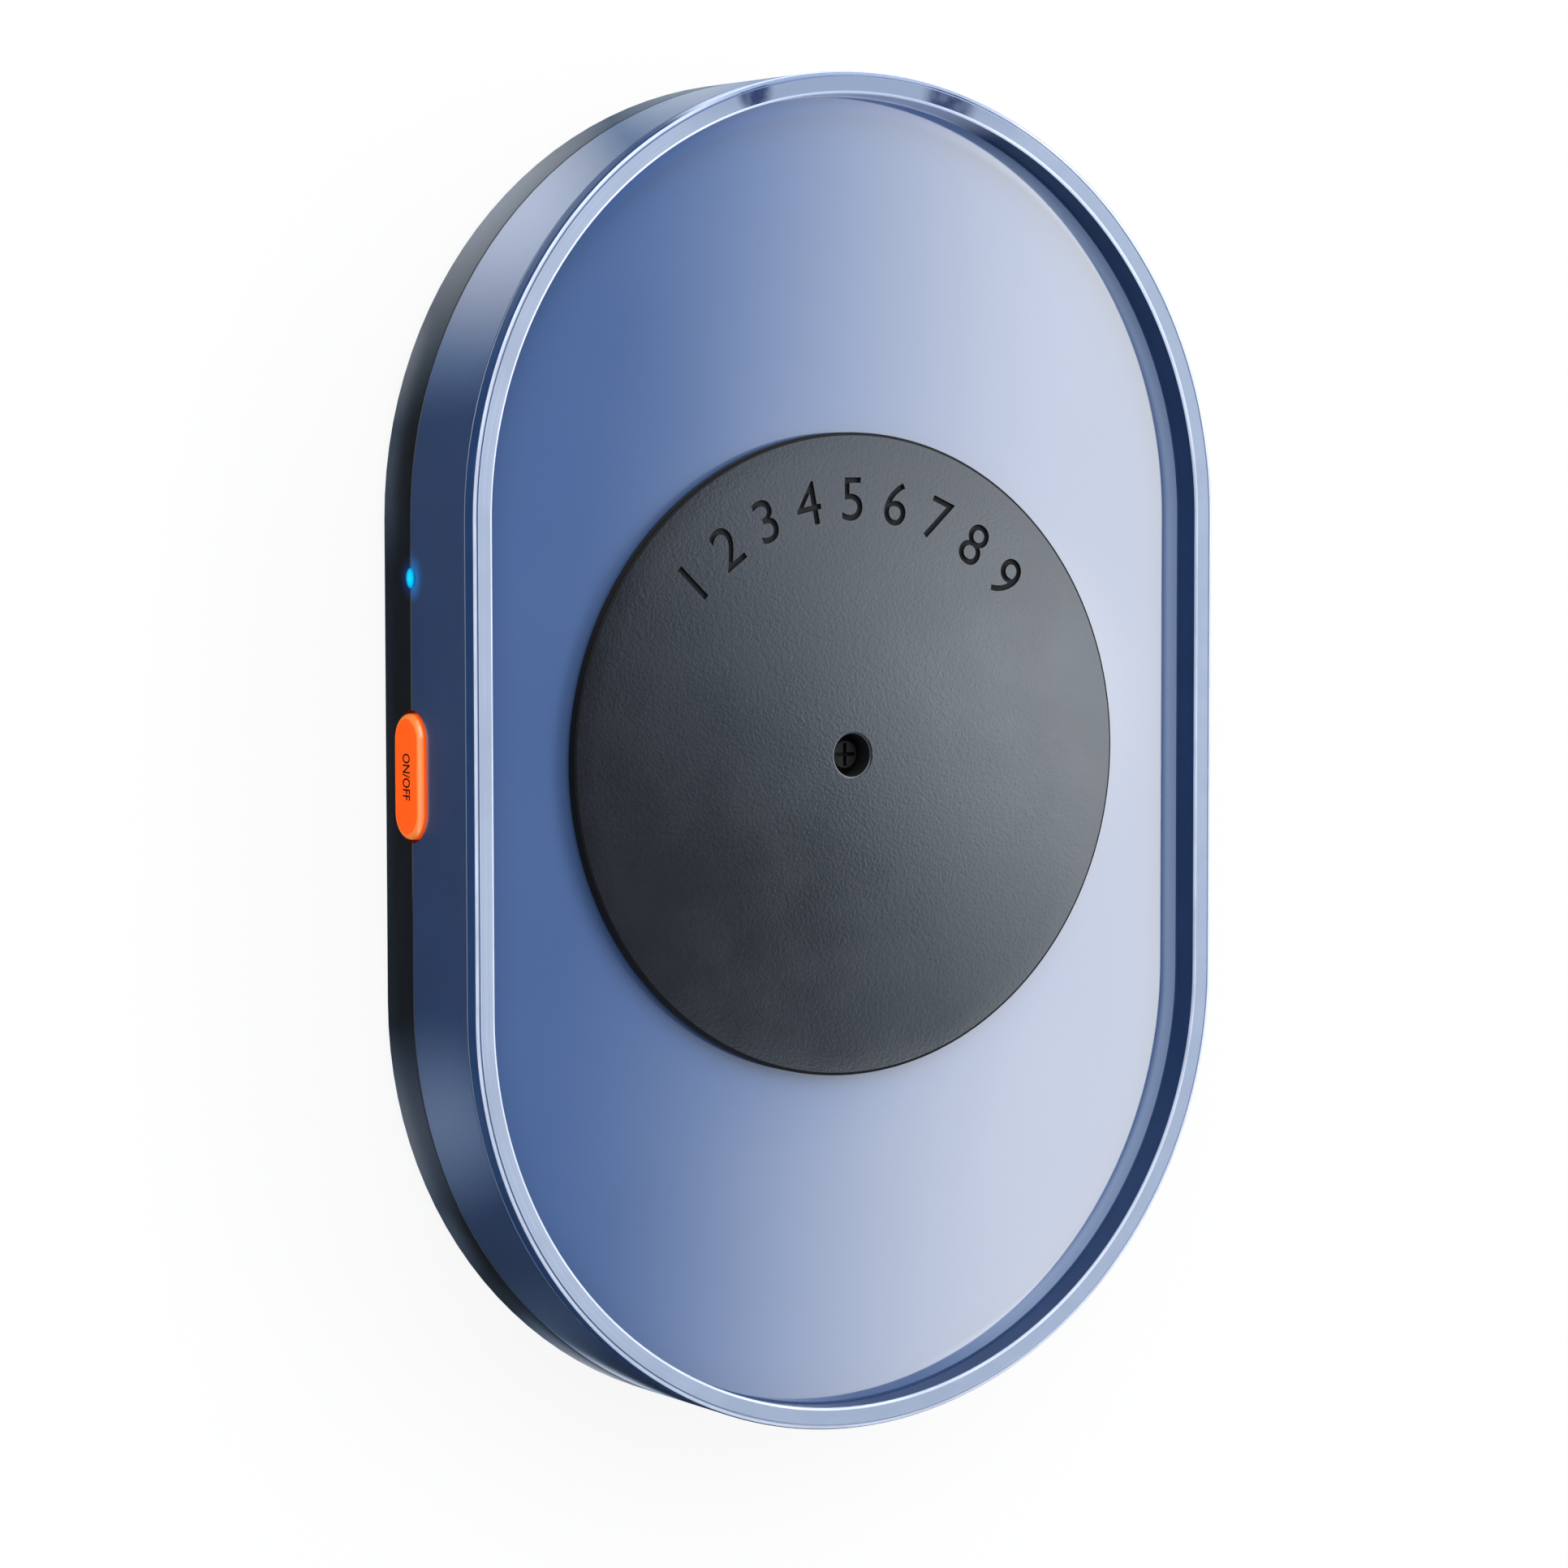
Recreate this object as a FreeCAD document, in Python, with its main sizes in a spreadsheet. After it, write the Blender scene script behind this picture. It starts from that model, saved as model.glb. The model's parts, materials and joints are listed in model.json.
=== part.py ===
"""Mouse jiggler: a flat tray with a slowly turning disc that an optical mouse stands on.

The body is a black base cover, a blue side band and a glossy tray cover with a raised rim.
A small motor turns the disc through two spur-gear stages.  A press button and a status light
sit on the left long side, on the seam between base cover and side band.

Frame: millimetres, +Z up, origin on the surface that the feet stand on, under the disc's axis.
+Y runs along the body's length towards its power socket; the button is on the -X side.
"""
import FreeCAD, Part
import Sketcher
import math
import os
import re

# Driving dimensions, in millimetres, degrees or teeth.
SIZES = {
    # body
    "body_length": 130.0,
    "body_width": 84.6,
    "wall": 2.0,
    "base_height": 5.8,
    "base_wall": 1.8,
    "base_edge_bevel": 0.7,
    "seam_break": 0.15,
    "lip_wall": 0.9,
    "lip_height": 1.5,
    "lip_clearance": 0.1,
    "band_top_wall": 1.0,
    "reveal_gap": 0.1,
    "lid_clearance": 0.1,
    "rim_flange_height": 1.45,
    "rim_width": 2.1,
    "rim_bevel": 0.25,
    "recess_depth": 2.9,
    "recess_corner_bevel": 0.3,
    "tray_floor": 1.6,
    # feet
    "foot_stand": 0.7,
    "foot_seat": 0.5,
    "foot_radius": 5.5,
    "foot_edge_bevel": 0.2,
    "foot_inset_x": 14.3,
    "foot_inset_y": 32.0,
    # case screws
    "screw_post_radius": 3.2,
    "screw_post_height": 5.5,
    "screw_hole_radius": 1.2,
    "screw_head_radius": 1.9,
    "screw_head_height": 1.3,
    "screw_head_clearance": 0.3,
    "screw_counterbore": 2.4,
    "screw_radius": 1.0,
    "case_screw_length": 9.0,
    "small_screw_length": 3.2,
    "boss_gap": 0.1,
    "end_screw_inset_x": 13.3,
    "end_screw_inset_y": 22.0,
    "side_screw_inset": 8.3,
    "side_screw_y": 17.0,
    # ribs
    "rib_wall": 1.0,
    "rib_height": 3.0,
    "long_rib_inset": 21.3,
    "cross_rib_gap": 2.5,
    "long_rib_end_gap": 4.0,
    # turntable
    "disc_radius": 30.9,
    "disc_thickness": 1.1,
    "disc_gap": 0.3,
    "disc_edge_bevel": 0.3,
    "hub_radius": 4.0,
    "hub_length": 3.4,
    "head_pocket_radius": 2.0,
    "head_pocket_depth": 2.6,
    "disc_screw_head_radius": 1.8,
    "disc_screw_head_height": 1.2,
    "disc_screw_length": 4.0,
    # output shaft, bush and washer
    "shaft_radius": 1.5,
    "shaft_flat": 0.35,
    "shaft_end_gap": 0.1,
    "shaft_top_gap": 0.3,
    "shaft_seat_depth": 0.4,
    "running_clearance": 0.05,
    "bush_wall": 1.0,
    "bush_flange": 1.0,
    "bush_flange_height": 0.6,
    "collar_wall": 1.4,
    "collar_height": 0.4,
    "centre_boss_radius": 4.0,
    "centre_boss_height": 2.7,
    "washer_radius": 3.4,
    "washer_thickness": 0.4,
    "end_float": 0.1,
    # gears
    "gear_module": 0.6,
    "pressure_angle": 20.0,
    "gear_backlash": 0.06,
    "pinion_shift": 0.25,
    "pinion_teeth": 12.0,
    "wheel_teeth": 36.0,
    "output_teeth": 40.0,
    "output_gear_width": 2.4,
    "output_gear_rise": 1.5,
    "output_hub_length": 4.3,
    "output_web_recess": 0.5,
    "output_hole_radius": 1.9,
    "output_hole_count": 6.0,
    "stage_gap": 0.8,
    "wheel_width": 1.6,
    "wheel_web_recess": 0.4,
    "wheel_hub_radius": 2.4,
    "wheel_hub_rise": 0.3,
    "idler_foot": 0.3,
    "pin_radius": 1.0,
    "pin_boss_radius": 2.5,
    # gear plate
    "gear_plate_thickness": 1.0,
    "plate_post_radius": 2.5,
    "plate_post_x": 16.0,
    "plate_post_y": 12.0,
    "plate_margin": 3.0,
    "plate_hole_clearance": 0.8,
    "plate_corner_round": 2.4,
    "plate_clearance": 0.5,
    # motor
    "motor_radius": 9.0,
    "motor_bell_height": 0.7,
    "motor_bell_step": 0.5,
    "motor_edge_bevel": 0.5,
    "motor_flange_thickness": 0.6,
    "motor_flange_gap": 0.5,
    "motor_ear_reach": 12.0,
    "motor_ear_radius": 2.3,
    "motor_post_radius": 2.2,
    "motor_bearing_radius": 2.5,
    "motor_bearing_height": 0.2,
    "motor_shaft_radius": 0.75,
    "motor_shaft_depth": 3.0,
    "pinion_gap": 0.1,
    "pinion_overlap": 0.2,
    # circuit board
    "board_thickness": 1.0,
    "board_stand": 0.9,
    "board_side_gap": 2.3,
    "board_arm_width": 12.0,
    "board_arm_start": -9.0,
    "board_arm_end": 26.0,
    "board_inner_edge": 22.5,
    "board_half_width": 14.0,
    "board_shoulder_inset": 5.2,
    "board_neck_half": 7.0,
    "board_end_gap": 1.8,
    "board_post_radius": 2.4,
    "board_hole_inset": 3.6,
    "board_hole_side": 8.4,
    # power socket
    "socket_width": 8.94,
    "socket_height": 3.2,
    "socket_depth": 7.4,
    "socket_skin": 0.3,
    "socket_set_back": 0.4,
    "socket_opening_gap": 0.3,
    "tongue_width": 6.7,
    "tongue_thickness": 0.7,
    "tongue_set_back": 1.0,
    # press button
    "button_y": -1.1,
    "button_length": 11.8,
    "button_height": 5.1,
    "button_proud": 0.6,
    "button_edge_bevel": 0.45,
    "button_gap": 0.3,
    "button_travel": 0.5,
    "button_flange": 0.8,
    "button_flange_thickness": 0.8,
    "button_flange_gap": 0.1,
    "plunger_radius": 1.3,
    "plunger_clearance": 0.08,
    "switch_gap": 1.8,
    "switch_depth": 3.5,
    "switch_width": 6.0,
    "switch_height": 4.2,
    # status light
    "light_y": 17.35,
    "light_radius": 0.95,
    "light_hole_gap": 0.05,
    "light_head": 0.5,
    "light_head_length": 0.8,
    "light_gap": 0.8,
    "led_width": 3.0,
    "led_depth": 1.8,
    "led_height": 3.0,
    "led_lens_length": 0.5,
    # parts on the circuit board
    "chip_length": 9.9,
    "chip_width": 3.9,
    "chip_height": 1.5,
    "chip_leg_reach": 1.05,
    "chip_leg_pitch": 1.27,
    "chip_leg_width": 0.42,
    "chip_leg_rows": 8.0,
    "chip_bevel": 0.2,
    "chip_inset": 14.0,
    "capacitor_radius": 2.5,
    "capacitor_height": 5.4,
    "capacitor_edge_bevel": 0.3,
    "capacitor_inset": 2.5,
    "connector_width": 7.5,
    "connector_depth": 4.5,
    "connector_height": 4.0,
    "connector_wall": 0.6,
    "connector_inset": 1.2,
    "passive_length": 1.6,
    "passive_width": 0.8,
    "passive_height": 0.6,
    "passive_pitch": 2.6,
    "passive_count": 5.0,
    "passive_row_gap": 3.2,
}

# Sizes and places that follow from the driving dimensions, as formulas of the same words.
DERIVED = {
    "half_width": "body_width / 2",
    "half_length": "body_length / 2",
    "end_centre": "half_length - half_width",
    "inner_x": "half_width - wall",
    "inner_y": "half_length - wall",
    # levels, from the feet up
    "under_level": "foot_stand",
    "floor_level": "under_level + base_wall",
    "seam_level": "under_level + base_height",
    "tray_under": "gear_plate_top + plate_clearance",
    "tray_level": "tray_under + tray_floor",
    "rim_top": "tray_level + recess_depth",
    "rim_base": "rim_top - rim_flange_height",
    "band_top": "rim_base - reveal_gap",
    "disc_under": "tray_level + disc_gap",
    "disc_top": "disc_under + disc_thickness",
    "hub_bottom": "disc_under - hub_length",
    "head_pocket_level": "disc_top - head_pocket_depth",
    "screw_post_top": "floor_level + screw_post_height",
    "board_under": "floor_level + board_stand",
    "board_top": "board_under + board_thickness",
    # output shaft
    "centre_boss_top": "floor_level + centre_boss_height",
    "washer_top": "centre_boss_top + washer_thickness",
    "output_hub_bottom": "washer_top + end_float",
    "output_gear_bottom": "output_hub_bottom + output_gear_rise",
    "output_gear_top": "output_gear_bottom + output_gear_width",
    "shaft_bottom": "floor_level - shaft_seat_depth",
    "shaft_top": "head_pocket_level - shaft_top_gap",
    "bush_bore": "hub_radius + running_clearance",
    "bush_radius": "bush_bore + bush_wall",
    "bush_flange_radius": "bush_radius + bush_flange",
    "collar_bottom": "tray_under - collar_height",
    "collar_radius": "bush_radius + collar_wall",
    # gear centres: the idler and the motor stand in line behind the disc's axis
    "idler_y": "-gear_module * (pinion_teeth + output_teeth) / 2",
    "motor_y": "idler_y - gear_module * (pinion_teeth + wheel_teeth) / 2",
    # idler
    "wheel_bottom": "output_gear_top + stage_gap",
    "wheel_top": "wheel_bottom + wheel_width",
    "idler_top": "wheel_top + wheel_hub_rise",
    "idler_bottom": "output_gear_bottom - pinion_overlap - idler_foot",
    "pin_boss_top": "idler_bottom - end_float",
    "gear_plate_bottom": "idler_top + end_float",
    "gear_plate_top": "gear_plate_bottom + gear_plate_thickness",
    "plate_hole_radius": "collar_radius + plate_hole_clearance",
    # motor
    "motor_flange_top": "wheel_bottom - motor_flange_gap",
    "motor_flange_bottom": "motor_flange_top - motor_flange_thickness",
    "motor_can_bottom": "floor_level + motor_bell_height",
    "motor_bearing_top": "motor_flange_top + motor_bearing_height",
    "motor_pinion_bottom": "motor_bearing_top + pinion_gap",
    "motor_pinion_top": "wheel_top + pinion_overlap",
    # circuit board
    "board_left": "-inner_x + board_side_gap",
    "board_end": "inner_y - board_end_gap",
    "board_shoulder": "board_end - board_shoulder_inset",
    "chip_low": "board_inner_edge + chip_inset",
    # socket
    "socket_middle": "board_top + socket_height / 2",
    "socket_front": "half_length - socket_set_back",
    "socket_opening_height": "socket_height + 2 * socket_opening_gap",
    # press button
    "button_radius": "button_height / 2",
    "button_reach": "(button_length - button_height) / 2",
    "button_slot_radius": "button_radius + button_gap",
    "button_flange_radius": "button_radius + button_flange",
    "button_face": "half_width + button_proud",
    "flange_outer": "inner_x - button_flange_gap",
    "flange_inner": "flange_outer - button_flange_thickness",
    "switch_front": "flange_inner - switch_gap",
    # status light
    "light_head_outer": "inner_x",
    "light_head_inner": "inner_x - light_head_length",
    "led_front": "light_head_inner - light_gap",
}

SHEET_NAME = "Sizes"
PLANE_UP = "XY_Plane"
PLANE_SIDE = "YZ_Plane"
PLANE_END = "XZ_Plane"
TOLERANCE = 1e-4
LEVEL_TOLERANCE = 0.01
ROOT_DEPTH = 1.25  # of a tooth below the pitch circle, in modules

doc = FreeCAD.newDocument("MouseJiggler")
subparts = []


def make_sheet():
    """The spreadsheet of driving dimensions, one alias per row."""
    sheet = doc.addObject("Spreadsheet::Sheet", SHEET_NAME)
    for row, (alias, number) in enumerate(SIZES.items(), 1):
        sheet.set(f"A{row}", alias)
        sheet.set(f"B{row}", str(number))
        sheet.setAlias(f"B{row}", alias)
    doc.recompute()
    return sheet


sheet = make_sheet()
derived_word = re.compile(r"\b(" + "|".join(DERIVED) + r")\b")
size_word = re.compile(r"\b(" + "|".join(SIZES) + r")\b")


def formula(text):
    """The text with derived words written out and each driving size read from the sheet."""
    while derived_word.search(text):
        text = derived_word.sub(lambda hit: f"({DERIVED[hit.group(0)]})", text)
    return size_word.sub(rf"{SHEET_NAME}.\1", text)


def size(text):
    """The number that a formula gives now."""
    return float(sheet.evalExpression(formula(str(text))))


def count(text):
    return int(round(size(text)))


def bind(thing, name, text):
    """Ties a property of a document object to a formula."""
    thing.setExpression(name, formula(str(text)))


# ---------------------------------------------------------------- sub-parts and sketches

def new_body(label):
    body = doc.addObject("PartDesign::Body", label)
    body.Label = label
    subparts.append(body)
    return body


def keep(thing, label):
    """Names a document object as a sub-part."""
    thing.Label = label
    subparts.append(thing)
    return thing


def new_sketch(body, role, level):
    """An empty sketch on one of the body's origin planes, moved along the plane's normal."""
    planes = [item for item in body.Origin.OriginFeatures if item.Role == role]
    sketch = body.newObject("Sketcher::SketchObject", "Sketch")
    sketch.AttachmentSupport = [(planes[0], "")]
    sketch.MapMode = "FlatFace"
    bind(sketch, "AttachmentOffset.Base.z", level)
    return sketch


def dimension(sketch, name, text, *constraint):
    """Adds a constraint whose value follows a formula."""
    index = sketch.addConstraint(Sketcher.Constraint(*constraint, size(text)))
    sketch.renameConstraint(index, name)
    bind(sketch, f"Constraints.{name}", text)


def place_point(sketch, name, geometry, point, across, along):
    """Holds a sketch point at two coordinates, each a formula."""
    dimension(sketch, f"{name}_x", across, "DistanceX", -1, 1, geometry, point)
    dimension(sketch, f"{name}_y", along, "DistanceY", -1, 1, geometry, point)


def add_circle(sketch, name, across, along, radius):
    centre = FreeCAD.Vector(size(across), size(along), 0)
    circle = Part.Circle(centre, FreeCAD.Vector(0, 0, 1), size(radius))
    geometry = sketch.addGeometry(circle)
    place_point(sketch, name, geometry, 3, across, along)
    dimension(sketch, f"{name}_radius", radius, "Radius", geometry)


def add_polygon(sketch, name, corners):
    """A closed run of straight lines through corners that are pairs of formulas."""
    points = [FreeCAD.Vector(size(across), size(along), 0) for across, along in corners]
    lines = []
    for start, end in zip(points, points[1:] + points[:1]):
        lines.append(sketch.addGeometry(Part.LineSegment(start, end)))
    for line, following in zip(lines, lines[1:] + lines[:1]):
        sketch.addConstraint(Sketcher.Constraint("Coincident", line, 2, following, 1))
    for index, (line, (across, along)) in enumerate(zip(lines, corners)):
        place_point(sketch, f"{name}_{index}", line, 1, across, along)


def add_rectangle(sketch, name, left, right, low, high):
    add_polygon(sketch, name, [(left, low), (right, low), (right, high), (left, high)])


def add_stadium(sketch, name, radius, reach, across="0", along="0", upright=True):
    """Two half circles, their centres `reach` either side of the middle, joined by lines."""
    middle = FreeCAD.Vector(size(across), size(along), 0)
    turn = FreeCAD.Rotation(FreeCAD.Vector(0, 0, 1), 0 if upright else -90)
    up = FreeCAD.Vector(0, 0, 1)
    r, c = size(radius), size(reach)

    def spot(x, y):
        return middle + turn.multVec(FreeCAD.Vector(x, y, 0))

    def half_circle(centre, start):
        first = math.radians(start if upright else start - 90)
        return Part.ArcOfCircle(Part.Circle(centre, up, r), first, first + math.pi)

    right = sketch.addGeometry(Part.LineSegment(spot(r, -c), spot(r, c)))
    top = sketch.addGeometry(half_circle(spot(0, c), 0))
    left = sketch.addGeometry(Part.LineSegment(spot(-r, c), spot(-r, -c)))
    bottom = sketch.addGeometry(half_circle(spot(0, -c), 180))
    for first, second in ((right, top), (top, left), (left, bottom), (bottom, right)):
        sketch.addConstraint(Sketcher.Constraint("Tangent", first, 2, second, 1))
    sketch.addConstraint(Sketcher.Constraint("Equal", top, bottom))
    dimension(sketch, f"{name}_radius", radius, "Radius", top)
    if upright:
        ends = ((across, f"{along} + ({reach})"), (across, f"{along} - ({reach})"))
    else:
        ends = ((f"{across} + ({reach})", along), (f"{across} - ({reach})", along))
    place_point(sketch, f"{name}_top", top, 3, *ends[0])
    place_point(sketch, f"{name}_bottom", bottom, 3, *ends[1])


def outline(sketch, inset="0", name="outline"):
    """The body's stadium outline, moved inwards by an inset."""
    add_stadium(sketch, name, f"half_width - ({inset})", "end_centre")


# ---------------------------------------------------------------- features of a body

def grow(body, sketch, length, downwards=False):
    """Pads the sketch and checks that the body gained material."""
    before = body.Shape.Volume if body.Tip else 0.0
    pad = body.newObject("PartDesign::Pad", "Pad")
    pad.Profile = sketch
    pad.Reversed = downwards
    bind(pad, "Length", length)
    doc.recompute()
    if body.Shape.Volume <= before + TOLERANCE:
        raise ValueError(f"{body.Label}: a pad added nothing")
    return pad


def cut(body, sketch, depth, along_normal=False):
    """Pockets the sketch against its normal, or along it, and checks that it cut."""
    before = body.Shape.Volume
    pocket = body.newObject("PartDesign::Pocket", "Pocket")
    pocket.Profile = sketch
    pocket.Reversed = along_normal
    bind(pocket, "Length", depth)
    doc.recompute()
    if body.Shape.Volume >= before - TOLERANCE:
        raise ValueError(f"{body.Label}: a pocket cut nothing")
    return pocket


def edges_at(shape, axis, level):
    """Names of the edges that lie wholly at one level of an axis."""
    names = []
    for index, edge in enumerate(shape.Edges, 1):
        box = edge.BoundBox
        low, high = getattr(box, f"{axis}Min"), getattr(box, f"{axis}Max")
        if abs(low - level) < LEVEL_TOLERANCE and abs(high - level) < LEVEL_TOLERANCE:
            names.append(f"Edge{index}")
    return names


def soften(body, kind, names, amount):
    """Rounds or bevels the named edges of the body's last feature."""
    last = body.Tip
    feature = body.newObject(f"PartDesign::{kind}", kind)
    feature.Base = (last, names)
    bind(feature, "Radius" if kind == "Fillet" else "Size", amount)
    doc.recompute()


def bevel_edges(body, axis, level, amount):
    soften(body, "Chamfer", edges_at(body.Tip.Shape, axis, size(level)), amount)


def circles(body, level, radius, spots, role=PLANE_UP):
    """A sketch of equal circles at a list of places."""
    sketch = new_sketch(body, role, level)
    for index, (across, along) in enumerate(spots):
        add_circle(sketch, f"c{index}", across, along, radius)
    return sketch


# ---------------------------------------------------------------- places that repeat

def mirrored(x, y):
    """The four places (+-x, +-y)."""
    return [(f"{sx}({x})", f"{sy}({y})") for sx in ("", "-") for sy in ("", "-")]


FOOT_SPOTS = mirrored("half_width - foot_inset_x", "half_length - foot_inset_y")
CASE_SCREW_SPOTS = mirrored("half_width - end_screw_inset_x", "half_length - end_screw_inset_y") + [
    ("half_width - side_screw_inset", "-side_screw_y"),
    ("-(half_width - side_screw_inset)", "-side_screw_y"),
]
PLATE_SPOTS = [
    ("plate_post_x", "-plate_post_y"),
    ("-plate_post_x", "-plate_post_y"),
    ("0", "plate_post_x"),
]
MOTOR_SPOTS = [("motor_ear_reach", "motor_y"), ("-motor_ear_reach", "motor_y")]
BOARD_SPOTS = [
    ("board_left + board_hole_side", "board_arm_start + board_hole_inset"),
    ("board_left + board_hole_side / 2", "board_inner_edge"),
    ("board_half_width - board_hole_inset", "board_inner_edge + board_hole_inset"),
    ("board_half_width - board_hole_inset", "board_shoulder - board_hole_inset"),
]


# ---------------------------------------------------------------- housing

def cut_side_openings(body):
    """The button's slot and the status light's hole, through the left wall."""
    inside = "-(inner_x - wall)"
    slot = new_sketch(body, PLANE_SIDE, inside)
    add_stadium(slot, "slot", "button_slot_radius", "button_reach", "button_y", "seam_level",
                upright=False)
    cut(body, slot, "wall * 3")
    hole = circles(body, inside, "light_radius + light_hole_gap", [("light_y", "seam_level")],
                   PLANE_SIDE)
    cut(body, hole, "wall * 3")


def cut_socket_opening(body):
    """The power socket's opening, through the wall at the +Y end."""
    opening = new_sketch(body, PLANE_END, "-(inner_y - wall)")
    add_stadium(opening, "opening", "socket_opening_height / 2",
                "(socket_width - socket_height) / 2", "0", "socket_middle", upright=False)
    cut(body, opening, "wall * 3")


def base_cover():
    """Black lower shell: floor, low wall, tongue that enters the side band, posts and ribs."""
    body = new_body("base_cover")
    block = new_sketch(body, PLANE_UP, "under_level")
    outline(block)
    grow(body, block, "base_height")
    bevel_edges(body, "Z", "under_level", "base_edge_bevel")
    bevel_edges(body, "Z", "seam_level", "seam_break")

    hollow = new_sketch(body, PLANE_UP, "seam_level")
    outline(hollow, "wall")
    cut(body, hollow, "base_height - base_wall")
    tongue = new_sketch(body, PLANE_UP, "seam_level")
    outline(tongue, "wall - lip_wall", "outer")
    outline(tongue, "wall", "inner")
    grow(body, tongue, "lip_height")

    base_posts(body)
    base_ribs(body)
    grow_under(body)
    cut_side_openings(body)
    cut_socket_opening(body)


def base_posts(body):
    """Posts that stand on the floor, each with its hole."""
    posts = (
        (CASE_SCREW_SPOTS, "screw_post_radius", "screw_post_top"),
        (PLATE_SPOTS, "plate_post_radius", "gear_plate_bottom"),
        (MOTOR_SPOTS, "motor_post_radius", "motor_flange_bottom"),
        (BOARD_SPOTS, "board_post_radius", "board_under"),
        ([("0", "0")], "centre_boss_radius", "centre_boss_top"),
        ([("0", "idler_y")], "pin_boss_radius", "pin_boss_top"),
    )
    for spots, radius, top in posts:
        grow(body, circles(body, "floor_level", radius, spots), f"{top} - floor_level")

    holes = (
        (PLATE_SPOTS, "screw_radius", "gear_plate_bottom", "small_screw_length + 1"),
        (MOTOR_SPOTS, "screw_radius", "motor_flange_bottom", "small_screw_length + 1"),
        (BOARD_SPOTS, "screw_radius", "board_under", "board_stand + base_wall / 2"),
        ([("0", "0")], "shaft_radius + running_clearance", "centre_boss_top",
         "centre_boss_top - shaft_bottom + shaft_end_gap"),
        ([("0", "idler_y")], "pin_radius", "pin_boss_top", "pin_boss_top - shaft_bottom"),
    )
    for spots, radius, top, depth in holes:
        cut(body, circles(body, top, radius, spots), depth)


def base_ribs(body):
    """Two long ribs beside the gears and two cross ribs behind the motor."""
    ribs = new_sketch(body, PLANE_UP, "floor_level")
    middle = "half_width - long_rib_inset"
    far = "motor_y - motor_radius - cross_rib_gap"
    near = "board_inner_edge - long_rib_end_gap"
    for name, sign in (("right", ""), ("left", "-")):
        inner, outer = f"{sign}({middle} - rib_wall / 2)", f"{sign}({middle} + rib_wall / 2)"
        add_rectangle(ribs, name, inner, outer, f"{far} + rib_wall", near)
    add_rectangle(ribs, "cross", f"-({middle})", middle, far, f"{far} + rib_wall / 2")
    grow(body, ribs, "rib_height")


def grow_under(body):
    """Foot seats and counterbored screw holes, cut upwards from the underside."""
    seats = circles(body, "under_level", "foot_radius", FOOT_SPOTS)
    cut(body, seats, "foot_seat", along_normal=True)
    heads = circles(body, "under_level", "screw_head_radius + screw_head_clearance",
                    CASE_SCREW_SPOTS)
    cut(body, heads, "screw_counterbore", along_normal=True)
    shanks = circles(body, "under_level", "screw_hole_radius", CASE_SCREW_SPOTS)
    cut(body, shanks, "screw_post_top", along_normal=True)


def side_band():
    """Blue side wall: a ring with a rebate for the base's tongue and a ledge for the tray."""
    body = new_body("side_band")
    block = new_sketch(body, PLANE_UP, "seam_level")
    outline(block)
    grow(body, block, "band_top - seam_level")
    bevel_edges(body, "Z", "seam_level", "seam_break")
    bevel_edges(body, "Z", "band_top", "seam_break")

    throat = new_sketch(body, PLANE_UP, "band_top")
    outline(throat, "wall")
    cut(body, throat, "band_top - seam_level")
    seat = new_sketch(body, PLANE_UP, "band_top")
    outline(seat, "band_top_wall")
    cut(body, seat, "band_top - tray_under")
    rebate = new_sketch(body, PLANE_UP, "seam_level")
    outline(rebate, "wall - lip_wall - lip_clearance")
    cut(body, rebate, "lip_height + lip_clearance", along_normal=True)
    cut_side_openings(body)
    cut_socket_opening(body)


def tray_cover():
    """Glossy tray: floor, raised rim that caps the side band, collar and screw bosses."""
    body = new_body("tray_cover")
    lid = new_sketch(body, PLANE_UP, "tray_under")
    outline(lid, "band_top_wall + lid_clearance")
    grow(body, lid, "rim_top - tray_under")
    flange = new_sketch(body, PLANE_UP, "rim_base")
    outline(flange)
    grow(body, flange, "rim_flange_height")
    recess = new_sketch(body, PLANE_UP, "rim_top")
    outline(recess, "rim_width")
    cut(body, recess, "recess_depth")
    bevel_edges(body, "Z", "rim_top", "rim_bevel")
    bevel_edges(body, "Z", "tray_level", "recess_corner_bevel")

    collar = circles(body, "tray_under", "collar_radius", [("0", "0")])
    grow(body, collar, "collar_height", downwards=True)
    cut(body, circles(body, "tray_level", "bush_radius", [("0", "0")]),
        "tray_floor + collar_height")
    bosses = circles(body, "tray_under", "screw_post_radius", CASE_SCREW_SPOTS)
    grow(body, bosses, "tray_under - screw_post_top - boss_gap", downwards=True)
    pilots = circles(body, "screw_post_top + boss_gap", "screw_radius", CASE_SCREW_SPOTS)
    cut(body, pilots, "tray_under - screw_post_top - boss_gap", along_normal=True)


# ---------------------------------------------------------------- turning parts

def spin_profile(points):
    """A solid of revolution about +Z from (radius, height) corners."""
    corners = [FreeCAD.Vector(radius, 0, height) for radius, height in points]
    face = Part.Face(Part.makePolygon(corners + corners[:1]))
    return face.revolve(FreeCAD.Vector(0, 0, 0), FreeCAD.Vector(0, 0, 1), 360)


def flatted_bar(radius, length):
    """A round bar with one flat along its whole length, on its +X side."""
    bar = Part.makeCylinder(radius, length)
    flat = Part.makeBox(radius, 2 * radius, length,
                        FreeCAD.Vector(size("shaft_radius - shaft_flat"), -radius, 0))
    return bar.cut(flat)


def solid_part(label, shape, at=("0", "0", "0")):
    """A sub-part whose shape is worked out from the sheet's sizes, set at its place."""
    thing = doc.addObject("Part::Feature", label)
    thing.Shape = shape
    thing.Placement = FreeCAD.Placement(FreeCAD.Vector(*(size(text) for text in at)),
                                        FreeCAD.Rotation())
    return keep(thing, label)


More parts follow.
